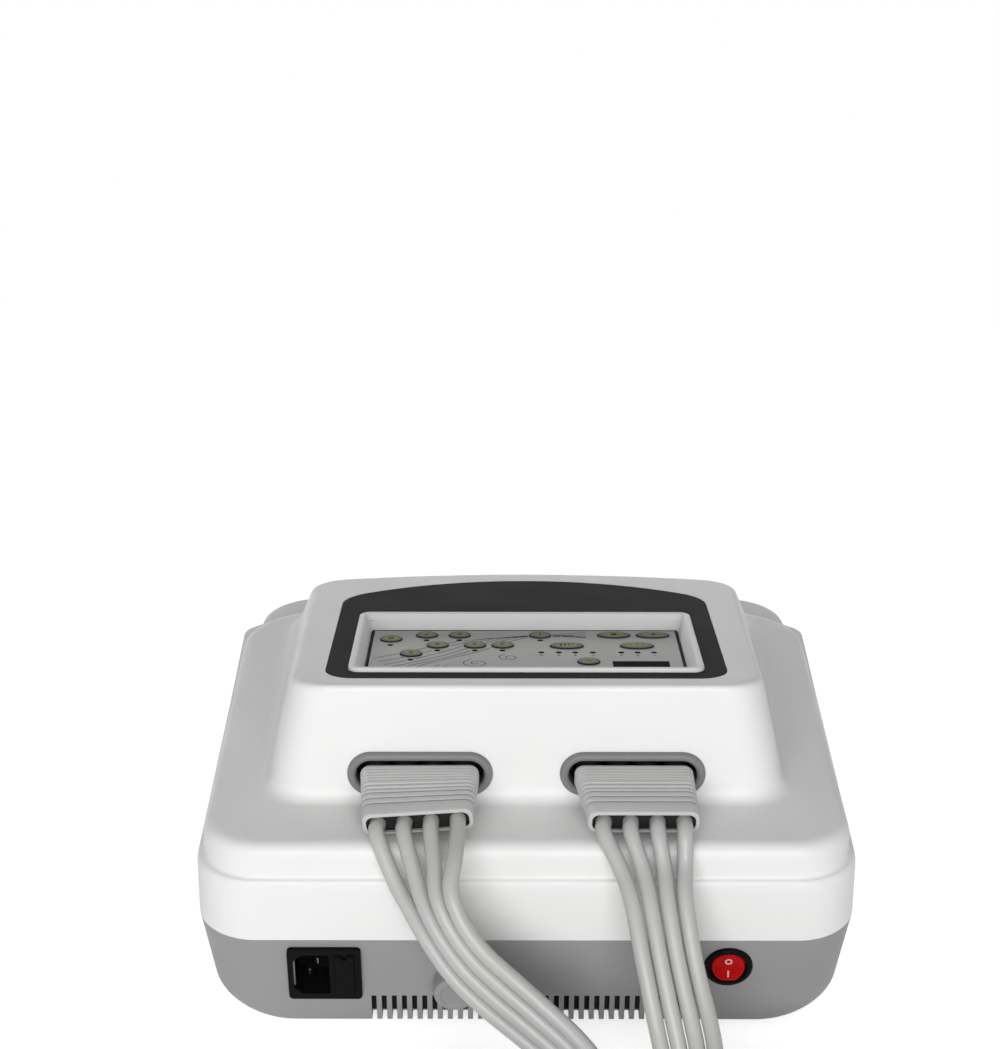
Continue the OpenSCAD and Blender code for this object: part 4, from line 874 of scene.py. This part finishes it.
def vent_slots(node, ask):
    """A box on each point of a row."""
    step = node("ShaderNodeCombineXYZ", {"X": ask["Pitch"]})
    size = node("ShaderNodeCombineXYZ", {"X": ask["Width"], "Y": ask["Depth"], "Z": ask["Height"]})
    row = node("GeometryNodeMeshLine", {"Count": ask["Count"], "Offset": step[0]})
    return node("GeometryNodeMeshCube", {"Size": size[0]})["Mesh"], row[0]


def base_housing():
    """The grey tray: leaning walls, rolled lower edges, finger arch, vents and holes for fittings."""
    levels = [FOOT_R * (1 - math.sin(math.radians(a))) for a in range(90, -1, -6)] + [BASE_H]
    gap = WALL - (WALL / 2 - 0.1)
    outer = [ring(base_half(z, 0), z) for z in levels]
    lip = [ring(body_half(gap, gap, gap), BASE_H), ring(body_half(gap, gap, gap), BASE_H + LIP_H),
           ring(body_half(WALL, WALL, WALL), BASE_H + LIP_H)]
    inner = [ring(base_half(z, WALL), z) for z in levels[::-1] if z > WALL + 1]
    inner.append(ring(base_half(WALL + 1, WALL + 3), WALL))
    shell = skin("base_shell", outer + lip + inner, "grey_shell")
    radius = (ARCH_HALF_W ** 2 + ARCH_H ** 2) / (2 * ARCH_H)
    turn = np.radians(np.linspace(0, 180, 181))

    def arch(r, back):
        line = polar(r, turn) + (0, ARCH_H - radius)
        place = Matrix.Translation((0, back, FOOT_H)) @ Matrix.Rotation(math.pi / 2, 4, "X")
        return prism("arch", line, 0, 60, place)

    back = FRONT_Y + FRONT_TUCK + ARCH_DEPTH
    roof = skin("roof", [ring(base_half(z, 0), z) for z in levels], "grey_shell")
    joined_with(roof, arch(radius + WALL, back + WALL), "INTERSECT")
    joined_with(shell, roof, "UNION")
    joined_with(shell, arch(radius, back), "DIFFERENCE")
    vents = grown("vents", "grey_shell", vent_slots,
                  {"Count": VENT_N, "Pitch": VENT_PITCH * MM, "Width": VENT_W * MM,
                   "Height": (VENT_TOP + 1) * MM, "Depth": VENT_CUT * MM})
    vents.data.transform(Matrix.Translation(((1 - VENT_N) / 2 * VENT_PITCH * MM, (REAR_Y - 4) * MM,
                                             ((VENT_TOP - 1) / 2 + FOOT_H) * MM)))
    joined_with(shell, vents, "DIFFERENCE")
    switch_hole, cap_hole = SWITCH_BODY_R + 0.2, CAP_STEM_R + 0.2
    for outline, place in ((rounded_rect(*INLET_HOLE, 1.5), INLET),
                           (ellipse(switch_hole, switch_hole), SWITCH),
                           (ellipse(cap_hole, cap_hole), rear_frame(CAP_X, CAP_Z))):
        joined_with(shell, prism("hole", outline, -10, 10, place), "DIFFERENCE")
    return even(shell, 30)


stands_for(upper_housing(), "upper_housing")
stands_for(base_housing(), "base_housing")

# ---- panel ----


def panel_ring(w, rear, front, z, r):
    outline = rounded_rect(2 * w, rear - front, r, 10) + (0, (rear + front) / 2)
    return level(outline, z)


def outer_ring(inset, z):
    return panel_ring(BEZEL_W / 2 - inset, BEZEL_REAR - inset, BEZEL_REAR - BEZEL_LEN + inset, z, 6 - inset)


def inner_ring(outset, z):
    return panel_ring(KEYPAD_W / 2 + outset, KEYPAD_REAR + outset, KEYPAD_REAR - KEYPAD_LEN - outset, z,
                      2.5 + max(outset, -1))


def bezel():
    board_z = OVERLAY_Z - 3.8
    rings = rounded(
        [outer_ring(0, -TRIM_T), outer_ring(0, BEZEL_H), outer_ring(2.9, BEZEL_H), inner_ring(0, FACE_Z),
         inner_ring(0, OVERLAY_Z), inner_ring(-2.4, OVERLAY_Z), inner_ring(-2.4, OVERLAY_Z - 1.2),
         inner_ring(0, OVERLAY_Z - 1.2), inner_ring(0, board_z), inner_ring(2, board_z),
         inner_ring(2, -TRIM_T)],
        [0, 1.1, 1.0, 0, 0, 0, 0, 0, 0, 0, 0], 5)
    return even(placed(band("bezel", rings, "white_shell"), PANEL))


def trim():
    """The dark panel with a fine rolled edge, open where the bezel stands."""
    edge = trim_line(0)
    middle = edge.mean(0)

    def drawn_in(amount):
        toward = middle - edge
        return edge + toward / np.linalg.norm(toward, axis=1, keepdims=True) * amount

    plate = skin("trim", [level(edge, -TRIM_T), level(edge, -0.25), level(drawn_in(0.08), -0.08),
                          level(drawn_in(0.25), 0)], "dark_trim")
    hole = rounded_rect(BEZEL_W + 0.4, BEZEL_LEN + 0.4, 6.2) + (0, BEZEL_REAR - BEZEL_LEN / 2)
    joined_with(plate, prism("hole", hole, -3, 3, Matrix.Identity(4)), "DIFFERENCE")
    return even(placed(plate, PANEL), 25)


def key_cap(name, centre, a, b):
    """A sprung key: flange and stem below the face, a rolled edge and a shallow dome above it."""
    top, flange = FACE_Z + BUTTON_PROUD, OVERLAY_Z - 0.2
    profile = [(-0.6, flange - 1), (-0.6, flange), (0, flange), (0, top - 0.42), (0.06, top - 0.28),
               (0.2, top - 0.17), (0.45, top - 0.11), (1.0, top - 0.08), (0.4 * b, top - 0.02),
               (0.7 * b, top), (0.95 * b, top)]
    rings = [level(ellipse(KEY_STEM_R, KEY_STEM_R) + centre, z) for z in (flange - 2.8, flange - 1)]
    for inset, z in profile:
        rings.append(level(ellipse(max(a - inset, 0.05 * a), max(b - inset, 0.05 * b)) + centre, z))
    cap = skin(name, rings, "key_grey")
    layer = cap.data.uv_layers.new(name="cap").data
    for loop in cap.data.loops:
        x, y, _ = cap.data.vertices[loop.vertex_index].co / MM
        layer[loop.index].uv = ((x - centre[0]) / a / 2 + 0.5, (y - centre[1]) / b / 2 + 0.5)
    return even(placed(cap, PANEL))


stands_for(bezel(), "keypad_bezel")
stands_for(trim(), "trim_panel")
KEYS = [("time_up", TIME_KEYS[0]), ("time_down", TIME_KEYS[1])]
KEYS += [(f"zone_{i + 1}", place) for i, place in enumerate(ZONE_KEYS)]
for word, place in KEYS:
    stands_for(key_cap(f"key_{word}", place, BUTTON_D / 2, BUTTON_D / 2), f"button_{word}")
for word, place in zip(("mode", "level", "start", "stop"), OVAL_KEYS):
    stands_for(key_cap(f"key_{word}", place, OVAL_L / 2, OVAL_W / 2), f"button_{word}")

# ---- printing on the panel: plain numbers and shapes, and flowing lines between the keys ----

INK = 0.04
EDGE_LINE = 1.2


def key_top(reach):
    return FACE_Z + BUTTON_PROUD + reach


def sign(text, centre, size, low):
    """Plain numbers as a thin closed mesh."""
    curve = bpy.data.curves.new("sign", "FONT")
    curve.body = text
    curve.align_x, curve.align_y = "CENTER", "CENTER"
    curve.size = size * MM
    curve.extrude = INK / 2 * MM
    words = bpy.data.objects.new("sign", curve)
    scene.collection.objects.link(words)
    bpy.context.view_layer.update()
    mesh = bpy.data.meshes.new_from_object(words.evaluated_get(bpy.context.evaluated_depsgraph_get()))
    bpy.data.objects.remove(words)
    mesh.transform(Matrix.Translation((centre[0] * MM, centre[1] * MM, (low + INK / 2) * MM)))
    mesh.materials.clear()
    flat = bpy.data.objects.new("sign", mesh)
    scene.collection.objects.link(flat)
    reshaped(mesh, lambda shape: bmesh.ops.remove_doubles(shape, verts=shape.verts, dist=1e-7))
    return flat


def stamp(outline, centre, low):
    outline = np.array(outline, float) + centre
    return skin("stamp", [level(outline, z) for z in (low, low + INK)], None)


def stroke(line, width, low):
    """A thin closed ribbon along a line on the face."""
    line = np.asarray(line, float)
    along = np.gradient(line, axis=0)
    along /= np.linalg.norm(along, axis=1, keepdims=True)
    side = np.stack([-along[:, 1], along[:, 0]], 1) * width / 2
    rings = [[(*(p - d), low), (*(p + d), low), (*(p + d), low + INK), (*(p - d), low + INK)]
             for p, d in zip(line, side)]
    return skin("stroke", [np.array(points) for points in rings], None)


def clear_runs(line):
    """The parts of a line that keep off the keys, lights and display and stay on the face."""
    runs, run = [], []
    for point in line:
        off = abs(point[0]) < KEYPAD_W / 2 - 2.5 and abs(point[1] - KEYPAD_MID) < KEYPAD_LEN / 2 - 2.5
        off = off and all(np.hypot(*(point - key)) > BUTTON_D / 2 + 0.7 for key in TIME_KEYS + ZONE_KEYS)
        off = off and all(np.hypot(*((point - key) / (OVAL_L / 2 + 0.8, OVAL_W / 2 + 0.8))) > 1
                          for key in OVAL_KEYS)
        off = off and all(np.hypot(*(point - light)) > LED_D / 2 + 0.8 for light in LEDS)
        if off:
            run.append(point)
        if run and (not off or point is line[-1]):
            runs += [run] if len(run) > 4 else []
            run = []
    return runs


def face_print():
    """Dark printing: a fine scale along the top, numbers over the lights and a sheaf of flowing lines."""
    low = FACE_Z
    marks = [stroke([(x, KEYPAD_REAR - 6.4), (x + 0.5, KEYPAD_REAR - 4.0)], 0.55, low)
             for x in np.arange(-62, 64, 2.8)]
    edge_x, rear = KEYPAD_W / 2 - EDGE_LINE, KEYPAD_REAR - EDGE_LINE
    front = KEYPAD_REAR - KEYPAD_LEN + EDGE_LINE
    for y in (rear, front):
        marks.append(stroke([(-edge_x - EDGE_LINE / 2, y), (edge_x + EDGE_LINE / 2, y)], EDGE_LINE, low))
    for x in (-edge_x, edge_x):
        marks.append(stroke([(x, front + EDGE_LINE / 2), (x, rear - EDGE_LINE / 2)], EDGE_LINE, low))
    for row in (MODE_LEDS, LEVEL_LEDS):
        marks += [sign(str(i + 1), (x, LED_ROW + 4.8), 3.4, low) for i, x in enumerate(row)]
    share = np.linspace(0, 1, 260)
    for i in range(6):
        rise = share ** (1.5 + 0.16 * i)
        x = -31 + share * (106 - 3 * i)
        y = -111.5 + 1.7 * i + (44 + 5.2 * i) * rise + (3.2 + 0.5 * i) * np.sin(share * 8.2 + 0.55 * i)
        marks += [stroke(run, 0.42, low) for run in clear_runs(list(np.stack([x, y], 1)))]
    for x, y, size, turns in ((24, -56, 7, 1.6), (40, -48, 5, 1.4), (8, -66, 5.5, 1.5)):
        angle = np.linspace(0, turns * 2 * math.pi, 90)
        reach = size * (1 - angle / angle[-1] * 0.86)
        curl = (x, y) + polar(reach, angle - 1.2)
        marks += [stroke(run, 0.42, low) for run in clear_runs(list(curl))]
    return rides(placed(gathered("face_print", marks, "ink"), PANEL), "keypad_overlay")


face_print()


def box(left, low, right, high):
    return [(left, low), (right, low), (right, high), (left, high)]


SHAPES = {
    "mode": [box(x, -0.5, x + 1, 0.5) for x in (-3.6, -0.5, 2.6)],
    "level": [box(x, -1.6, x + 1, -0.6 + 0.7 * i) for i, x in enumerate((-3.5, -1.5, 0.5, 2.5))],
    "start": [[(-1.3, -1.6), (1.7, 0), (-1.3, 1.6)]],
    "stop": [box(-1.4, -1.4, 1.4, 1.4)],
    "time_up": [[(-1.9, -0.3), (-0.3, -0.3), (-0.3, -1.9), (0.3, -1.9), (0.3, -0.3), (1.9, -0.3),
                 (1.9, 0.3), (0.3, 0.3), (0.3, 1.9), (-0.3, 1.9), (-0.3, 0.3), (-1.9, 0.3)]],
    "time_down": [box(-1.9, -0.3, 1.9, 0.3)],
}
PLACES = dict(KEYS + list(zip(("mode", "level", "start", "stop"), OVAL_KEYS)))
for word, place in PLACES.items():
    if word in SHAPES:
        signs = [stamp(outline, place, key_top(-0.02)) for outline in SHAPES[word]]
    else:
        signs = [sign(word[-1], place, 5.4, key_top(-0.02))]
    rides(placed(gathered(f"sign_{word}", signs, "ink"), PANEL), f"button_{word}")


def display_segments():
    """Two unlit digits behind the window."""
    bars = []
    for x0 in (-5.5, 5.5):
        for across, x, y in ((1, 0, 6.4), (1, 0, 0), (1, 0, -6.4), (0, -3.4, 3.2), (0, 3.4, 3.2),
                             (0, -3.4, -3.2), (0, 3.4, -3.2)):
            bar = np.array([(-2.6, 0), (-2.0, -0.6), (2.0, -0.6), (2.6, 0), (2.0, 0.6), (-2.0, 0.6)])
            if not across:
                bar = bar[:, ::-1] * (1, -1)
            bars.append(stamp(bar, (DISPLAY[0] + x0 + x, DISPLAY[1] + y), FACE_Z - 0.01))
    return rides(placed(gathered("display_segments", bars, "dim_segment"), PANEL), "display_window")


display_segments()


def lens(node, ask):
    """On each point, a short rod with a low dome."""
    rod = node("GeometryNodeMeshCylinder", {"Vertices": 24, "Radius": ask["Radius"], "Depth": ask["Height"]})
    dome = node("GeometryNodeMeshUVSphere", {"Segments": 24, "Rings": 10, "Radius": ask["Radius"]})
    half = node("ShaderNodeMath", {0: ask["Height"], 1: 0.5}, operation="MULTIPLY")
    lift = node("ShaderNodeCombineXYZ", {"Z": half[0]})
    flat = node("GeometryNodeTransform",
                {"Geometry": dome["Mesh"], "Translation": lift[0], "Scale": (1, 1, 0.2)})
    return node("GeometryNodeJoinGeometry", {0: [rod["Mesh"], flat[0]]})[0], ask["Points"]


LENS_H = 5
lenses = grown("lenses", "led", lens, {"Radius": LED_D / 2 * MM, "Height": LENS_H * MM},
               [(x, y, FACE_Z - LENS_H / 2) for x, y in LEDS])
stands_for(even(placed(lenses, PANEL), 40), "status_leds")

# ---- rear fittings ----


def collar(side, name):
    """A rolled grey band round a port, with its sleeve into the wall."""
    half, inner, outer = COLLAR_W / 2 - COLLAR_H / 2, COLLAR_H / 2 - COLLAR_BAND, COLLAR_H / 2
    turn = np.radians(np.arange(0, 181, 15))
    crown = [(inner + COLLAR_BAND / 2 * (1 - math.cos(t)), COLLAR_PROUD - 2.2 + 2.2 * math.sin(t))
             for t in turn]
    profile = [(inner, -WALL - 2.5)] + crown + [(outer, 0), (inner + 1.8, 0), (inner + 1.8, -WALL - 2.5)]
    rings = [level(slot_line(half, r), z) for r, z in profile]
    return even(placed(band(name, rings, "collar_grey"), port_frame(side)), 50)


for side, word in SIDES:
    stands_for(collar(side, f"collar_{word}"), f"port_collar_{word}")
softened("inlet", "power_inlet", 0.5)
softened("drawer", "fuse_drawer", 0.35)


def pins():
    """Three blades set back in the socket, with tapered tips."""
    rows = []
    for x, y in ((-7.8, 7), (-7.8, -7), (-3.8, 0)):
        profile = ((0, -16), (0, -8), (0.25, -7.2), (0.6, -6.8))
        rows.append(skin("blade", [level(rounded_rect(2 - 2 * inset, 4 - 2 * inset, 0.35, 3) + (x, y), z)
                                   for inset, z in profile], None))
    return even(placed(gathered("pins", rows, "pin_metal"), INLET), 40)


stands_for(pins(), "inlet_pins")
softened("feet", "rubber_feet", 0.35)
softened("manifold_left", "port_manifold_left", 0.3)
softened("manifold_right", "port_manifold_right", 0.3)


def switch_ring():
    """The switch's round black frame: a full outer roll and a deep well for the rocker."""
    r, well = SWITCH_D / 2, ROCKER_R + 0.7
    profile = [(well, -9.5), (well, 0.9), (well + 0.25, 1.7), (well + 0.8, 2.15), (r - 1.2, 2.1),
               (r - 0.5, 1.75), (r - 0.1, 1.1), (r, 0.4), (r, 0), (SWITCH_BODY_R, 0),
               (SWITCH_BODY_R, -16), (0.6, -16), (0.6, -9.5)]
    rings = [level(ellipse(reach, reach, 80), z) for reach, z in profile]
    return even(placed(band("switch_ring", rings, "black_plastic"), SWITCH), 40)


def rocker_place():
    return (SWITCH @ Matrix.Translation((0, 0, ROCKER_PIVOT_Z))
            @ Matrix.Rotation(-math.radians(ROCKER_TILT), 4, "X"))


def paddle_top(y):
    return 4.5 + 1.1 * np.abs(y / ROCKER_HALF) ** 1.15


def paddle():
    """The red rocker: two shallow slopes that meet in the middle, with rolled edges and its pivot."""
    turn = np.linspace(0, 2 * math.pi, 96, endpoint=False)
    outline = polar(ROCKER_R, turn)
    outline[:, 1] = np.clip(outline[:, 1], -ROCKER_HALF, ROCKER_HALF)
    rings = [level(outline * 0.95, -1.5), level(outline, -1.0)]
    for share, drop in ((1, 1.3), (0.99, 0.75), (0.965, 0.35), (0.93, 0.12), (0.88, 0.03), (0.8, 0),
                        (0.65, 0), (0.5, 0), (0.35, 0), (0.2, 0), (0.08, 0)):
        line = outline * share
        rings.append(np.column_stack([line, paddle_top(line[:, 1]) - drop]))
    pin = skin("pin", [level(ellipse(1.15, 1.15, 24), z) for z in (-ROCKER_R - 0.9, ROCKER_R + 0.9)], None)
    pin.data.transform(Matrix.Rotation(math.pi / 2, 4, "Y"))
    return gathered("rocker", [skin("paddle", rings, None), pin], "red_paddle")


def rocker_marks():
    """A ring on the upper half and a bar on the lower one, laid on the slopes."""
    def laid(outline, reach):
        return np.column_stack([outline, paddle_top(outline[:, 1]) + reach])

    circle = [laid(ellipse(r, r, 40) + (0, 3.3), reach)
              for r, reach in ((0.95, -0.1), (0.95, 0.05), (1.75, 0.05), (1.75, -0.1))]
    bar = [laid(np.array([(-0.38, y), (0.38, y)]), 0) for y in np.linspace(-5.2, -1.9, 8)]
    strip = [np.vstack([line + (0, 0, -0.1), line[::-1] + (0, 0, 0.05)]) for line in bar]
    return gathered("rocker_marks", [band("ring", circle, None), skin("bar", strip, None)], "white_ink")


stands_for(switch_ring(), "switch_bezel")
stands_for(even(placed(paddle(), rocker_place()), 40), "switch_rocker")
rides(placed(rocker_marks(), rocker_place()), "switch_rocker")


def cap():
    """The filter's cap: a finely fluted side, a rolled edge and a dished top."""
    def fluted(reach, depth):
        turn = np.linspace(0, 2 * math.pi, 240, endpoint=False)
        radius = reach - depth * (0.5 + 0.5 * np.cos(40 * turn))
        return polar(radius, turn)

    r, top = CAP_D / 2, CAP_PROUD
    profile = [(CAP_STEM_R, 0, -8), (CAP_STEM_R, 0, 0), (r - 0.5, 0, 0), (r, 0.1, 0.4), (r, 0.45, 1.2),
               (r, 0.45, top - 2.2), (r - 0.15, 0.1, top - 1.4), (r - 0.6, 0, top - 0.6),
               (r - 1.5, 0, top - 0.1), (r - 2.4, 0, top), (r - 3.2, 0, top - 0.1),
               (r - 3.6, 0, top - 0.7), (r - 4.2, 0, top - 0.9), (0.3, 0, top - 0.9)]
    rings = [level(fluted(reach, depth), z) for reach, depth, z in profile]
    return even(placed(skin("cap", rings, "grey_shell"), rear_frame(CAP_X, CAP_Z)), 40)


stands_for(cap(), "filter_cap")


def vent_shade_sheet():
    """A dark sheet inside the rear wall, behind the vent slots: painted shade, so that the slots read black.
    """
    place = Matrix.Translation((0, REAR_Y - REAR_TUCK - WALL - 1.6, (VENT_TOP + 3) / 2 + FOOT_H + 2))
    place = place @ Matrix.Rotation(math.pi / 2, 4, "X")
    sheet = rounded_rect(VENT_N * VENT_PITCH + 4, VENT_TOP - 1, 1, 3)
    # a black sheet put where the inside of the base is only in shade: painted shade
    shade_sheet = prism("vent_shade_sheet", sheet, -0.5, 0.5, place, "rubber_black")
    return rides(shade_sheet, "base_housing")


vent_shade_sheet()

# ---- light and floor ----


def lamp(name, place, target, size, power, mirrored=True):
    light = bpy.data.lights.new(name, "AREA")
    light.shape = "RECTANGLE"
    light.size, light.size_y = size
    light.energy = power
    holder = bpy.data.objects.new(name, light)
    holder.location = place
    aim = Vector(target) - Vector(place)
    holder.rotation_euler = aim.to_track_quat("-Z", "Y").to_euler()
    holder.visible_glossy = mirrored
    scene.collection.objects.link(holder)


LAMP_AIM = (0, 0, 0.08)
WORLD_LIGHT = 0.28
FLOOR_LIGHT, FLOOR_R, FLOOR_SIDES = 0.66, 30000, 96
FADE_START, FADE_END = 0.35, 0.9

lamp("key", (0.12, 2.25, 0.86), LAMP_AIM, (2.0, 0.9), 41)
lamp("front", (0.4, -2.3, 0.24), LAMP_AIM, (1.9, 0.6), 31, mirrored=False)


def seen(tree):
    """1 for a ray that shows the background: from the camera, a reflection or through glass."""
    rays = add_node(tree, "ShaderNodeLightPath")
    first = add_node(tree, "ShaderNodeMath", {0: rays["Is Camera Ray"], 1: rays["Is Glossy Ray"]},
                     operation="MAXIMUM")
    return add_node(tree, "ShaderNodeMath", {0: first[0], 1: rays["Is Transmission Ray"]},
                    operation="MAXIMUM")[0]


world = bpy.data.worlds.new("studio")
scene.world = world
world.use_nodes = True
background = world.node_tree.nodes["Background"]
background.inputs["Color"].default_value = (1, 1, 1, 1)
strength = add_node(world.node_tree, "ShaderNodeMapRange",
                    {"Value": seen(world.node_tree), "To Min": WORLD_LIGHT, "To Max": 1.0})
world.node_tree.links.new(strength[0], background.inputs["Strength"])


def floor():
    """A pale disc that fades into the background away from the object."""
    rim = level(ellipse(FLOOR_R, FLOOR_R, FLOOR_SIDES), 0)
    disc = mesh_of("floor", rim, [list(range(FLOOR_SIDES))], None)
    look = Finish("floor", 0.9, Base_Color=(0.93, 0.93, 0.93, 1))
    away = look.node("VectorMath", {0: look.where["Object"]}, operation="LENGTH")["Value"]
    fade = look.node("MapRange", {"Value": away, "From Min": FADE_START, "From Max": FADE_END})
    shown = seen(look.tree)
    gate = look.node("Math", {0: fade[0], 1: shown}, operation="MULTIPLY")
    near = look.node("Math", {0: shown, 1: FLOOR_LIGHT}, operation="MULTIPLY")
    lift = look.node("Emission", {"Strength": near[0]})
    lit = look.node("AddShader", {0: look.shader.outputs[0], 1: lift[0]})
    mixed = look.node("MixShader", {0: gate[0], 1: lit[0], 2: look.node("Emission")[0]})
    look.tree.links.new(mixed[0], look.tree.nodes["Material Output"].inputs["Surface"])
    disc.data.materials.append(look.material)


floor()
scene.view_settings.view_transform = "Standard"
